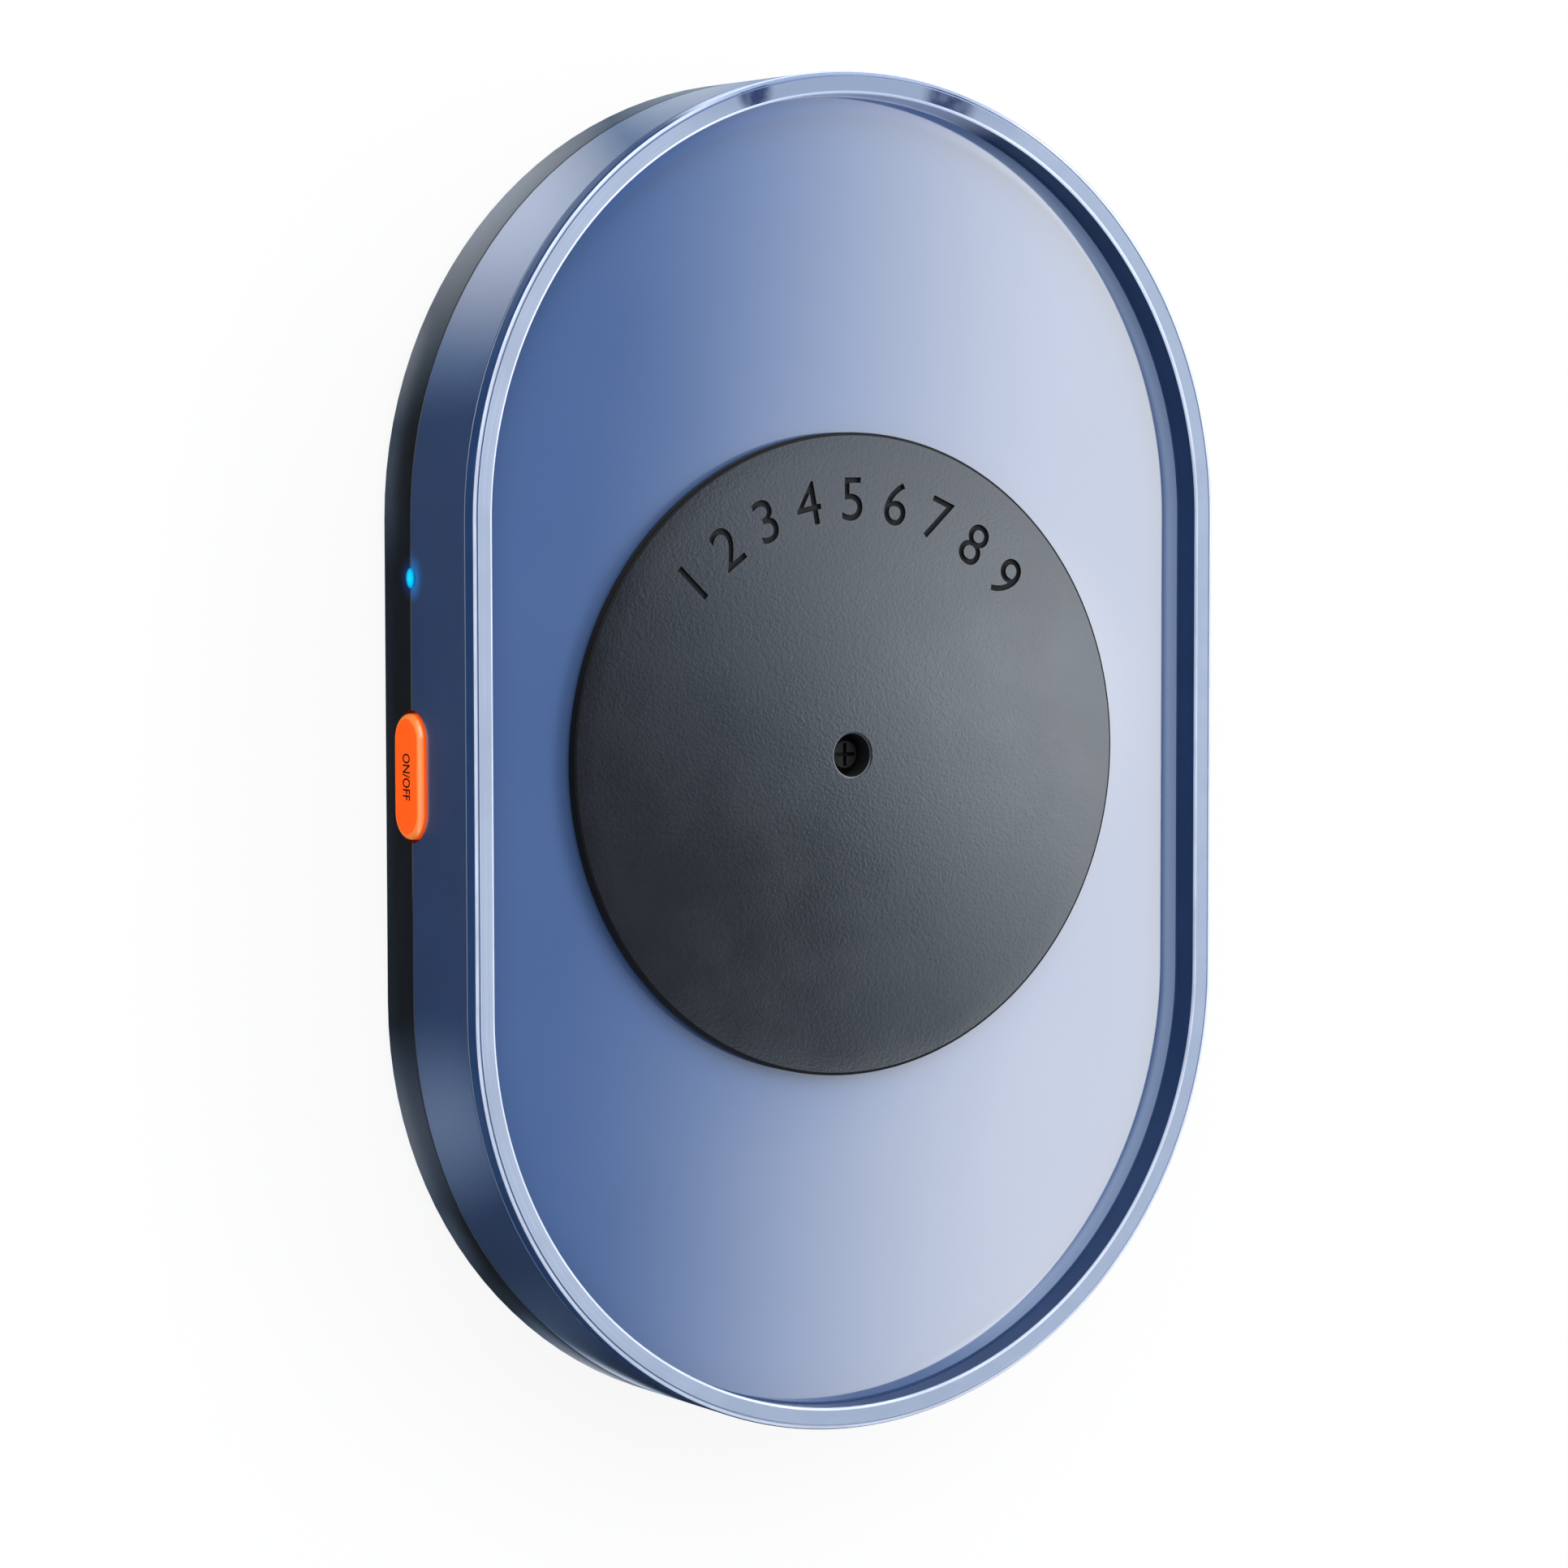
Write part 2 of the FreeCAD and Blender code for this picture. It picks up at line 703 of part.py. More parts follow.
def turntable():
    """The disc under the mouse, with its hub, screw pocket and flatted shaft bore."""
    body = new_body("turntable")
    disc = circles(body, "disc_under", "disc_radius", [("0", "0")])
    grow(body, disc, "disc_thickness")
    bevel_edges(body, "Z", "disc_top", "disc_edge_bevel")
    hub = circles(body, "disc_under", "hub_radius", [("0", "0")])
    grow(body, hub, "hub_length", downwards=True)
    cut(body, circles(body, "disc_top", "head_pocket_radius", [("0", "0")]), "head_pocket_depth")
    cut(body, circles(body, "head_pocket_level", "screw_hole_radius", [("0", "0")]),
        "hub_length")
    bore = new_sketch(body, PLANE_UP, "hub_bottom")
    add_flatted_circle(bore)
    cut(body, bore, "shaft_top - hub_bottom", along_normal=True)


def add_flatted_circle(sketch):
    """The output shaft's section: a circle with a flat on its +X side."""
    radius, flat = size("shaft_radius"), size("shaft_radius - shaft_flat")
    half = math.sqrt(radius ** 2 - flat ** 2)
    start = math.atan2(half, flat)
    up = FreeCAD.Vector(0, 0, 1)
    ring = Part.Circle(FreeCAD.Vector(0, 0, 0), up, radius)
    arc = sketch.addGeometry(Part.ArcOfCircle(ring, start, 2 * math.pi - start))
    line = sketch.addGeometry(Part.LineSegment(FreeCAD.Vector(flat, -half, 0),
                                               FreeCAD.Vector(flat, half, 0)))
    sketch.addConstraint(Sketcher.Constraint("Coincident", arc, 3, -1, 1))
    sketch.addConstraint(Sketcher.Constraint("Coincident", arc, 2, line, 1))
    sketch.addConstraint(Sketcher.Constraint("Coincident", line, 2, arc, 1))
    sketch.addConstraint(Sketcher.Constraint("Vertical", line))
    dimension(sketch, "bore_radius", "shaft_radius", "Radius", arc)
    dimension(sketch, "bore_flat", "shaft_radius - shaft_flat", "DistanceX", -1, 1, line, 1)


def screw(head_radius, head_height, shank_radius, length, countersunk=False):
    """A screw standing head up, its head's underside (or top, if countersunk) at zero."""
    if countersunk:
        profile = [(0, 0), (head_radius, 0), (shank_radius, shank_radius - head_radius),
                   (shank_radius, -length), (0, -length)]
    else:
        profile = [(0, head_height), (head_radius, head_height), (head_radius, 0),
                   (shank_radius, 0), (shank_radius, -length), (0, -length)]
    return spin_profile(profile)


def place_copies(label, shape, spots, level, flipped=False):
    """One sub-part that holds a copy of the shape at each place."""
    turn = FreeCAD.Rotation(FreeCAD.Vector(1, 0, 0), 180 if flipped else 0)
    copies = []
    for across, along in spots:
        copy = shape.copy()
        copy.Placement = FreeCAD.Placement(
            FreeCAD.Vector(size(across), size(along), size(level)), turn)
        copies.append(copy)
    thing = doc.addObject("Part::Feature", label)
    thing.Shape = Part.makeCompound(copies)
    thing.Placement = FreeCAD.Placement()
    return keep(thing, label)


def disc_screw():
    shape = screw(size("disc_screw_head_radius"), size("disc_screw_head_height"),
                  size("screw_radius"), size("disc_screw_length"))
    solid_part("disc_screw", shape, ("0", "0", "head_pocket_level"))


def output_shaft():
    """Steel shaft with a flat, drilled at its top for the disc's screw."""
    length = size("shaft_top - shaft_bottom")
    plain = size("output_hub_bottom - shaft_bottom")
    shape = flatted_bar(size("shaft_radius"), length)
    shape = shape.fuse(Part.makeCylinder(size("shaft_radius"), plain)).removeSplitter()
    drill_top = size("head_pocket_level - disc_screw_length - shaft_bottom")
    shape = shape.cut(Part.makeCylinder(size("screw_radius"), length,
                                        FreeCAD.Vector(0, 0, drill_top)))
    solid_part("output_shaft", shape, ("0", "0", "shaft_bottom"))


def tray_bush():
    """Flanged bush that carries the hub in the tray's floor."""
    bore, outer, flange = size("bush_bore"), size("bush_radius"), size("bush_flange_radius")
    low, neck = size("collar_bottom - bush_flange_height"), size("collar_bottom")
    top = size("tray_level")
    solid_part("tray_bush", spin_profile([(bore, low), (flange, low), (flange, neck),
                                          (outer, neck), (outer, top), (bore, top)]))


def thrust_washer():
    ring = Part.makeCylinder(size("washer_radius"), size("washer_thickness"))
    hole = Part.makeCylinder(size("shaft_radius + 2 * running_clearance"),
                             size("washer_thickness"))
    solid_part("thrust_washer", ring.cut(hole), ("0", "0", "centre_boss_top"))


# ---------------------------------------------------------------- gears

def involute(angle):
    return math.tan(angle) - angle


def polar(radius, angle):
    return FreeCAD.Vector(radius * math.cos(angle), radius * math.sin(angle), 0)


class Gear:
    """An involute spur gear's section, with the middle of one tooth at `phase`."""

    def __init__(self, teeth, shift, phase=0.0):
        module = size("gear_module")
        pressure = math.radians(size("pressure_angle"))
        self.teeth = teeth
        self.phase = phase
        self.pitch = module * teeth / 2
        self.base = self.pitch * math.cos(pressure)
        self.tip = self.pitch + module * (1 + shift)
        self.root = self.pitch - module * (ROOT_DEPTH - shift)
        thickness = module * (math.pi / 2 + 2 * shift * math.tan(pressure))
        thickness -= size("gear_backlash") / 2
        self.base_half_angle = thickness / (2 * self.pitch) + involute(pressure)

    def half_angle(self, radius):
        """Half the angle that a tooth spans at a radius."""
        ratio = min(1.0, self.base / radius)
        return self.base_half_angle - involute(math.acos(ratio))

    def flank(self, middle, side):
        """Start, middle and end of one flank, from the base or root circle out to the tip."""
        start = max(self.base, self.root)
        radii = (start, (start + self.tip) / 2, self.tip)
        return [polar(radius, middle + side * self.half_angle(radius)) for radius in radii]

    def tooth(self, middle):
        """Edges of one tooth and of the root that follows it."""
        rising = self.flank(middle, -1)
        falling = self.flank(middle, 1)
        foot_angle = self.half_angle(max(self.base, self.root))
        foot_low = polar(self.root, middle - foot_angle)
        foot_high = polar(self.root, middle + foot_angle)
        next_foot = polar(self.root, middle + 2 * math.pi / self.teeth - foot_angle)
        edges = [
            Part.Arc(*rising).toShape(),
            Part.makeLine(rising[2], falling[2]),
            Part.Arc(*falling).toShape(),
            Part.makeLine(foot_high, next_foot),
        ]
        if self.root < self.base:
            edges.append(Part.makeLine(foot_low, rising[0]))
            edges.append(Part.makeLine(falling[0], foot_high))
        return edges

    def prism(self, bottom, height):
        """The toothed solid between two levels."""
        edges = []
        for index in range(self.teeth):
            edges += self.tooth(self.phase + 2 * math.pi * index / self.teeth)
        face = Part.Face(Part.Wire(Part.sortEdges(edges)[0]))
        face.translate(FreeCAD.Vector(0, 0, bottom))
        return face.extrude(FreeCAD.Vector(0, 0, height))


def meshed_phase(driver, direction, teeth):
    """The phase of a gear that meshes with `driver`, standing in a direction from it."""
    into_tooth = (direction - driver.phase) * driver.teeth / (2 * math.pi)
    return direction + math.pi - (0.5 - into_tooth) * 2 * math.pi / teeth


def train():
    """The four gear sections, in mesh: output, idler pinion, idler wheel, motor pinion."""
    behind = -math.pi / 2
    shift = size("pinion_shift")
    output = Gear(count("output_teeth"), -shift)
    phase = meshed_phase(output, behind, count("pinion_teeth"))
    idler_pinion = Gear(count("pinion_teeth"), shift, phase)
    idler_wheel = Gear(count("wheel_teeth"), -shift, phase)
    phase = meshed_phase(idler_wheel, behind, count("pinion_teeth"))
    motor_pinion = Gear(count("pinion_teeth"), shift, phase)
    return output, idler_pinion, idler_wheel, motor_pinion


def ring_recess(inner, outer, bottom, depth):
    """A shallow ring, for the thinned web between a gear's hub and rim."""
    height = FreeCAD.Vector(0, 0, bottom)
    return Part.makeCylinder(outer, depth, height).cut(Part.makeCylinder(inner, depth, height))


def output_gear(section):
    """Gear keyed on the output shaft, with a thinned and pierced web."""
    low, high = size("output_gear_bottom"), size("output_gear_top")
    hub_low, web = size("output_hub_bottom"), size("output_web_recess")
    hub = Part.makeCylinder(size("hub_radius"), size("output_hub_length"),
                            FreeCAD.Vector(0, 0, hub_low))
    shape = section.prism(low, high - low).fuse(hub).removeSplitter()
    rim = section.root - 2 * size("gear_module")
    for bottom in (low, high - web):
        shape = shape.cut(ring_recess(size("hub_radius"), rim, bottom, web))
    hole_radius = size("output_hole_radius")
    middle = (size("hub_radius") + rim) / 2
    holes = count("output_hole_count")
    for index in range(holes):
        spot = polar(middle, 2 * math.pi * index / holes)
        shape = shape.cut(Part.makeCylinder(hole_radius, high - low,
                                            spot + FreeCAD.Vector(0, 0, low)))
    bore = flatted_bar(size("shaft_radius"), size("output_hub_length"))
    bore.translate(FreeCAD.Vector(0, 0, hub_low))
    solid_part("output_gear", shape.cut(bore))


def reduction_gear(pinion, wheel):
    """Idler: a small pinion under a large wheel, in one moulding on a fixed pin."""
    foot, top = size("idler_bottom"), size("idler_top")
    low, high = size("wheel_bottom"), size("wheel_top")
    teeth_low, web = foot + size("idler_foot"), size("wheel_web_recess")
    hub = size("wheel_hub_radius")
    shape = pinion.prism(teeth_low, low - teeth_low).fuse(wheel.prism(low, high - low))
    shape = shape.fuse(Part.makeCylinder(hub, top - foot, FreeCAD.Vector(0, 0, foot)))
    rim = wheel.root - 2 * size("gear_module")
    shape = shape.cut(ring_recess(hub, rim, high - web, web))
    bore = Part.makeCylinder(size("pin_radius + running_clearance"), top - foot,
                             FreeCAD.Vector(0, 0, foot))
    solid_part("reduction_gear", shape.removeSplitter().cut(bore), ("0", "idler_y", "0"))


def gear_pin():
    height = size("gear_plate_top - shaft_bottom")
    pin = Part.makeCylinder(size("pin_radius"), height)
    solid_part("gear_pin", pin, ("0", "idler_y", "shaft_bottom"))


def gear_plate():
    """Plate over the gears that holds the top of the idler's pin."""
    body = new_body("gear_plate")
    side, back = "plate_post_x + plate_margin", "idler_y - plate_margin"
    shoulder, front = "-(plate_post_y - plate_margin)", "plate_post_x + plate_margin"
    nose = "plate_margin + plate_post_radius / 2"
    profile = new_sketch(body, PLANE_UP, "gear_plate_bottom")
    add_polygon(profile, "plate", [
        (f"-({side})", back), (side, back), (side, shoulder),
        (nose, front), (f"-({nose})", front), (f"-({side})", shoulder),
    ])
    grow(body, profile, "gear_plate_thickness")
    soften(body, "Fillet", upright_edges(body.Shape), "plate_corner_round")
    cut(body, circles(body, "gear_plate_top", "screw_hole_radius", PLATE_SPOTS),
        "gear_plate_thickness")
    sinks = [name for name in edges_at(body.Shape, "Z", size("gear_plate_top"))
             if is_round(body.Shape.getElement(name), size("screw_hole_radius"))]
    soften(body, "Chamfer", sinks, "screw_head_radius - screw_hole_radius")
    for radius, spots in (("plate_hole_radius", [("0", "0")]), ("pin_radius", [("0", "idler_y")])):
        cut(body, circles(body, "gear_plate_top", radius, spots), "gear_plate_thickness")


def is_round(edge, radius):
    """True for a circular edge of the given radius."""
    return hasattr(edge.Curve, "Radius") and abs(edge.Curve.Radius - radius) < TOLERANCE


def upright_edges(shape):
    """Names of the edges that run along Z."""
    names = []
    for index, edge in enumerate(shape.Edges, 1):
        box = edge.BoundBox
        if box.ZLength > TOLERANCE and box.XLength < TOLERANCE and box.YLength < TOLERANCE:
            names.append(f"Edge{index}")
    return names


# ---------------------------------------------------------------- motor

def motor():
    """Flat motor: plastic end bell, steel can, flange with two ears, shaft and pinion."""
    axis = ("0", "motor_y", "0")
    can = doc.addObject("Part::Cylinder", "can_block")
    bind(can, "Radius", "motor_radius")
    bind(can, "Height", "motor_flange_bottom - motor_can_bottom")
    bind(can, "Placement.Base.y", "motor_y")
    bind(can, "Placement.Base.z", "motor_can_bottom")
    bore = doc.addObject("Part::Cylinder", "can_bore")
    bind(bore, "Radius", "motor_shaft_radius + running_clearance")
    bind(bore, "Height", "motor_shaft_depth")
    bind(bore, "Placement.Base.y", "motor_y")
    bind(bore, "Placement.Base.z", "motor_flange_top - motor_shaft_depth")
    doc.recompute()
    bevelled = doc.addObject("Part::Chamfer", "can_bevel")
    bevelled.Base = can
    lower = [int(name[4:]) for name in edges_at(can.Shape, "Z", size("motor_can_bottom"))]
    bevelled.Edges = [(index, size("motor_edge_bevel"), size("motor_edge_bevel"))
                      for index in lower]
    drilled = doc.addObject("Part::Cut", "motor_can")
    drilled.Base = bevelled
    drilled.Tool = bore
    keep(drilled, "motor_can")

    bell = Part.makeCylinder(size("motor_radius - motor_bell_step"), size("motor_bell_height"))
    solid_part("motor_end_bell", bell, ("0", "motor_y", "floor_level"))
    motor_flange()

    bottom = size("motor_flange_top - motor_shaft_depth + shaft_end_gap")
    shaft = Part.makeCylinder(size("motor_shaft_radius"), size("motor_pinion_top") - bottom,
                              FreeCAD.Vector(0, 0, bottom))
    solid_part("motor_shaft", shaft, axis)


def motor_flange():
    body = new_body("motor_flange")
    bind(body, "Placement.Base.y", "motor_y")
    plate = new_sketch(body, PLANE_UP, "motor_flange_bottom")
    add_stadium(plate, "ears", "motor_ear_radius", "motor_ear_reach", upright=False)
    grow(body, plate, "motor_flange_thickness")
    grow(body, circles(body, "motor_flange_bottom", "motor_radius", [("0", "0")]),
         "motor_flange_thickness")
    grow(body, circles(body, "motor_flange_top", "motor_bearing_radius", [("0", "0")]),
         "motor_bearing_height")
    cut(body, circles(body, "motor_bearing_top", "motor_shaft_radius + running_clearance",
                      [("0", "0")]), "motor_flange_thickness + motor_bearing_height")
    cut(body, circles(body, "motor_flange_top", "screw_hole_radius",
                      [("motor_ear_reach", "0"), ("-motor_ear_reach", "0")]),
        "motor_flange_thickness")


def motor_pinion(section):
    bottom = size("motor_pinion_bottom")
    shape = section.prism(bottom, size("motor_pinion_top") - bottom)
    bore = Part.makeCylinder(size("motor_shaft_radius"), size("motor_pinion_top"))
    solid_part("motor_pinion", shape.cut(bore), ("0", "motor_y", "0"))


# ---------------------------------------------------------------- circuit board

def circuit_board():
    """L-shaped board: an arm along the left wall and a block that reaches the socket."""
    body = new_body("circuit_board")
    arm_right = "board_left + board_arm_width"
    profile = new_sketch(body, PLANE_UP, "board_under")
    add_polygon(profile, "board", [
        ("board_left", "board_arm_start"),
        (arm_right, "board_arm_start"),
        (arm_right, "board_inner_edge"),
        ("board_half_width", "board_inner_edge"),
        ("board_half_width", "board_shoulder"),
        ("board_neck_half", "board_end"),
        ("-board_neck_half", "board_end"),
        ("-board_half_width", "board_shoulder"),
        ("-board_half_width", "board_shoulder - board_arm_width"),
        ("board_left", "board_arm_end"),
    ])
    grow(body, profile, "board_thickness")
    cut(body, circles(body, "board_top", "screw_hole_radius", BOARD_SPOTS), "board_thickness")


def power_socket():
    """USB-C socket: a rolled steel shell around a thin plastic tongue."""
    shell = new_body("power_socket")
    reach = "(socket_width - socket_height) / 2"
    outer = new_sketch(shell, PLANE_END, "-socket_front")
    add_stadium(outer, "outer", "socket_height / 2", reach, "0", "socket_middle", upright=False)
    grow(shell, outer, "socket_depth")
    inner = new_sketch(shell, PLANE_END, "-(socket_front - socket_depth + socket_skin)")
    add_stadium(inner, "inner", "socket_height / 2 - socket_skin", reach, "0", "socket_middle",
                upright=False)
    cut(shell, inner, "socket_depth")

    tongue = new_body("socket_tongue")
    blade = new_sketch(tongue, PLANE_END, "-(socket_front - tongue_set_back)")
    add_rectangle(blade, "blade", "-tongue_width / 2", "tongue_width / 2",
                  "socket_middle - tongue_thickness / 2", "socket_middle + tongue_thickness / 2")
    grow(tongue, blade, "socket_depth - tongue_set_back - socket_skin")


# ---------------------------------------------------------------- press button and switch

def side_pill(body, level, radius):
    sketch = new_sketch(body, PLANE_SIDE, level)
    add_stadium(sketch, "pill", radius, "button_reach", "button_y", "seam_level", upright=False)
    return sketch


def power_button():
    """Pill-shaped key with a flange behind the wall that keeps it in."""
    body = new_body("power_button")
    grow(body, side_pill(body, "-button_face", "button_radius"), "button_face - flange_inner")
    bevel_edges(body, "X", "-button_face", "button_edge_bevel")
    grow(body, side_pill(body, "-flange_outer", "button_flange_radius"),
         "button_flange_thickness")


def tact_switch():
    """Side-push switch on the board; its plunger touches the key's flange."""
    body = new_body("tact_switch")
    block = new_sketch(body, PLANE_SIDE, "-switch_front")
    add_rectangle(block, "block", "button_y - switch_width / 2", "button_y + switch_width / 2",
                  "board_top", "board_top + switch_height")
    grow(body, block, "switch_depth")
    hole = circles(body, "-switch_front", "plunger_radius + plunger_clearance",
                   [("button_y", "seam_level")], PLANE_SIDE)
    cut(body, hole, "switch_depth * 0.6", along_normal=True)

    plunger = new_body("switch_plunger")
    end = circles(plunger, "-flange_inner", "plunger_radius", [("button_y", "seam_level")],
                  PLANE_SIDE)
    grow(plunger, end, "switch_gap + switch_depth * 0.6 - button_travel - plunger_clearance")


# ---------------------------------------------------------------- status light

def status_light():
    """Clear light pipe in the wall, and the side-looking LED that shines into it."""
    pipe = new_body("light_pipe")
    spot = [("light_y", "seam_level")]
    grow(pipe, circles(pipe, "-half_width", "light_radius", spot, PLANE_SIDE),
         "half_width - light_head_inner")
    grow(pipe, circles(pipe, "-light_head_outer", "light_radius + light_head", spot, PLANE_SIDE),
         "light_head_length")

    led = new_body("status_led")
    block = new_sketch(led, PLANE_SIDE, "-led_front")
    add_rectangle(block, "block", "light_y - led_width / 2", "light_y + led_width / 2",
                  "board_top", "board_top + led_height")
    grow(led, block, "led_depth")
    grow(led, circles(led, "-led_front", "light_radius", spot, PLANE_SIDE), "led_lens_length",
         downwards=True)


# ---------------------------------------------------------------- parts on the board

def board_block(left, low, width, depth, height):
    """A box standing on the board, from the formulas of its corner and sides."""
    corner = FreeCAD.Vector(size(left), size(low), size("board_top"))
    return Part.makeBox(size(width), size(depth), size(height), corner)


def control_chip():
    """Sixteen-legged controller in the middle of the board."""
    shape = board_block("-chip_length / 2", "chip_low", "chip_length", "chip_width",
                        "chip_height")
    top = [edge for edge in shape.Edges if edge.BoundBox.ZMin > size("board_top + chip_height / 2")]
    shape = shape.makeChamfer(size("chip_bevel"), top)
    rows = count("chip_leg_rows")
    for index in range(rows):
        along = f"chip_leg_pitch * {index - (rows - 1) / 2} - chip_leg_width / 2"
        leg = board_block(along, "chip_low - chip_leg_reach", "chip_leg_width",
                          "chip_width + 2 * chip_leg_reach", "chip_leg_width / 2")
        shape = shape.fuse(leg)
    solid_part("control_chip", shape.removeSplitter())


def capacitor():
    radius, height = size("capacitor_radius"), size("capacitor_height")
    can = Part.makeCylinder(radius, height)
    top = [edge for edge in can.Edges if edge.BoundBox.ZMin > height / 2]
    across = "capacitor_radius + capacitor_inset - board_half_width"
    along = "board_shoulder - capacitor_radius - capacitor_inset"
    solid_part("capacitor", can.makeChamfer(size("capacitor_edge_bevel"), top),
               (across, along, "board_top"))


def motor_connector():
    """Open-topped socket for the motor's lead."""
    low = "board_inner_edge + connector_inset"
    outer = board_block("-connector_width / 2", low, "connector_width", "connector_depth",
                        "connector_height")
    corner = FreeCAD.Vector(size("connector_wall - connector_width / 2"),
                            size(f"{low} + connector_wall"),
                            size("board_top + connector_wall"))
    hollow = Part.makeBox(size("connector_width - 2 * connector_wall"),
                          size("connector_depth - 2 * connector_wall"),
                          size("connector_height"), corner)
    solid_part("motor_connector", outer.cut(hollow))


def board_passives():
    """Two rows of small resistors and capacitors beside the controller."""
    block = Part.makeBox(size("passive_length"), size("passive_width"), size("passive_height"))
    spots = []
    for index in range(count("passive_count")):
        for row in ("chip_low - passive_row_gap - passive_width",
                    "chip_low + chip_width + passive_row_gap"):
            spots.append((f"passive_pitch * {index} - chip_length / 2", row))
    place_copies("board_passives", block, spots, "board_top")


# ---------------------------------------------------------------- feet and screws

def rubber_feet():
    radius, height = size("foot_radius"), size("foot_stand + foot_seat")
    pad = Part.makeCylinder(radius, height)
    lower = [edge for edge in pad.Edges if edge.BoundBox.ZMax < height / 2]
    pad = pad.makeChamfer(size("foot_edge_bevel"), lower)
    place_copies("rubber_feet", pad, FOOT_SPOTS, "0")


def fasteners():
    head = size("screw_head_radius"), size("screw_head_height"), size("screw_radius")
    place_copies("case_screws", screw(*head, size("case_screw_length")), CASE_SCREW_SPOTS,
                 "under_level + screw_counterbore", flipped=True)
    short = size("small_screw_length")
    place_copies("motor_screws", screw(*head, short), MOTOR_SPOTS, "motor_flange_top")
    place_copies("board_screws", screw(*head, size("board_thickness + board_stand")),
                 BOARD_SPOTS, "board_top")
    place_copies("gear_plate_screws", screw(*head, short, countersunk=True), PLATE_SPOTS,
                 "gear_plate_top")


# ---------------------------------------------------------------- the whole part

def build():
    base_cover()
    side_band()
    tray_cover()
    rubber_feet()
    turntable()
    disc_screw()
    output_shaft()
    tray_bush()
    thrust_washer()
    output, idler_pinion, idler_wheel, pinion = train()
    output_gear(output)
    reduction_gear(idler_pinion, idler_wheel)
    gear_pin()
    gear_plate()
    motor()
    motor_pinion(pinion)
    circuit_board()
    power_socket()
    power_button()
    tact_switch()
    status_light()
    control_chip()
    capacitor()
    motor_connector()
    board_passives()
    fasteners()


def check():
    """Stops if any object failed, or a sub-part has no sound shape."""
    doc.recompute()
    for thing in doc.Objects:
        if {"Invalid", "Error"} & set(thing.State):
            raise ValueError(f"{thing.Label} failed: {thing.State}")
    for part in subparts:
        if part.Shape.isNull() or not part.Shape.isValid() or not part.Shape.Solids:
            raise ValueError(f"{part.Label} has no sound shape")


def export():
    os.makedirs("parts", exist_ok=True)
    for part in subparts:
        part.Shape.exportStep(f"parts/{part.Label}.step")


build()
check()
export()
print(f"{len(subparts)} sub-parts written")
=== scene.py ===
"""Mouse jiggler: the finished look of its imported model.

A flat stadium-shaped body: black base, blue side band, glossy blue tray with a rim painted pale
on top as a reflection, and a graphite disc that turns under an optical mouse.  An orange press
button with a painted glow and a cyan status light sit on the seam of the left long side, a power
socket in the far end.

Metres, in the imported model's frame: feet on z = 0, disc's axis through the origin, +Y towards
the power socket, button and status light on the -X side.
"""
import json
import math

import bmesh
import bpy
from mathutils import Matrix, Vector

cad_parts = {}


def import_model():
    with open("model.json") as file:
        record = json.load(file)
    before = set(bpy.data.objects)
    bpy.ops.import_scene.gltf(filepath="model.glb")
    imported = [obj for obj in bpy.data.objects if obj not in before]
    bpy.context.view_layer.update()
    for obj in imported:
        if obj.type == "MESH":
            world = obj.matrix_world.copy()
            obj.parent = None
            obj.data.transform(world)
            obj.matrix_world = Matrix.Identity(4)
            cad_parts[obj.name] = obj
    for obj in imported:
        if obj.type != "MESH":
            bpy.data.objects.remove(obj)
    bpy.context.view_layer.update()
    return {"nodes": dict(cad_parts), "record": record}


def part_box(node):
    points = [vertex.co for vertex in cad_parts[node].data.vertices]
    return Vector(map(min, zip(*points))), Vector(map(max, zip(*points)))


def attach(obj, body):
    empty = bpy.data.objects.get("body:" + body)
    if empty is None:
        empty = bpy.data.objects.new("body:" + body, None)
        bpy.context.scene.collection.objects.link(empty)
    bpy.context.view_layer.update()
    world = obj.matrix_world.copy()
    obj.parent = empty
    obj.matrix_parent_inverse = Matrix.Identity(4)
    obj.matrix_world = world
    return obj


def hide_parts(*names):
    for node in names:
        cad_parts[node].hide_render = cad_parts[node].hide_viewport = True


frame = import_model()

MM = 0.001
MERGE = 0.002 * MM
SAME_PLACE = 5 * MERGE
ARC_STEPS = 96
SIDE_STEPS = 12
ROUND_STEPS = 192
ROUNDING_STEPS = 5
FINE_ROUNDING_STEPS = 3
RIM_ROUNDING_STEPS = 6
FLAT_FACES_WEIGHT = 100
# angles in degrees
FLAT_WITHIN = 0.2
SHARP_ANGLE = 40
SHELL_SHARP_ANGLE = 50

# ---------------------------------------------------------------- places read from the frame

band_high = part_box("side_band")[1]
tray_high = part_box("tray_cover")[1]
disc_low, disc_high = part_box("turntable")
bush_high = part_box("tray_bush")[1]
button_low, button_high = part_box("power_button")
pipe_low, pipe_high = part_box("light_pipe")

HALF_WIDTH = band_high.x
END_CENTRE = band_high.y - HALF_WIDTH
RIM_TOP = tray_high.z
TRAY_FLOOR = bush_high.z
BUTTON_CENTRE = (button_low + button_high) / 2
LIGHT_CENTRE = (pipe_low + pipe_high) / 2
LIGHT_FACE = Vector((pipe_low.x, LIGHT_CENTRE.y, LIGHT_CENTRE.z))

# ---------------------------------------------------------------- mesh tools


def verts_of(geometry):
    return [item for item in geometry if isinstance(item, bmesh.types.BMVert)]


def edges_of(geometry):
    return [item for item in geometry if isinstance(item, bmesh.types.BMEdge)]


def spine_radius(point):
    """Distance of a point from the line between the body's two end centres, seen from above."""
    return math.hypot(point.x, max(abs(point.y) - END_CENTRE, 0.0))


def axis_radius(point):
    """Distance of a point from the disc's axis."""
    return math.hypot(point.x, point.y)


def profile_line(bm, corners, start):
    """Vertices through (radius, height) corners, joined in order, as spin geometry."""
    verts = [bm.verts.new((radius, start, height)) for radius, height in corners]
    return verts + [bm.edges.new(pair) for pair in zip(verts, verts[1:])]


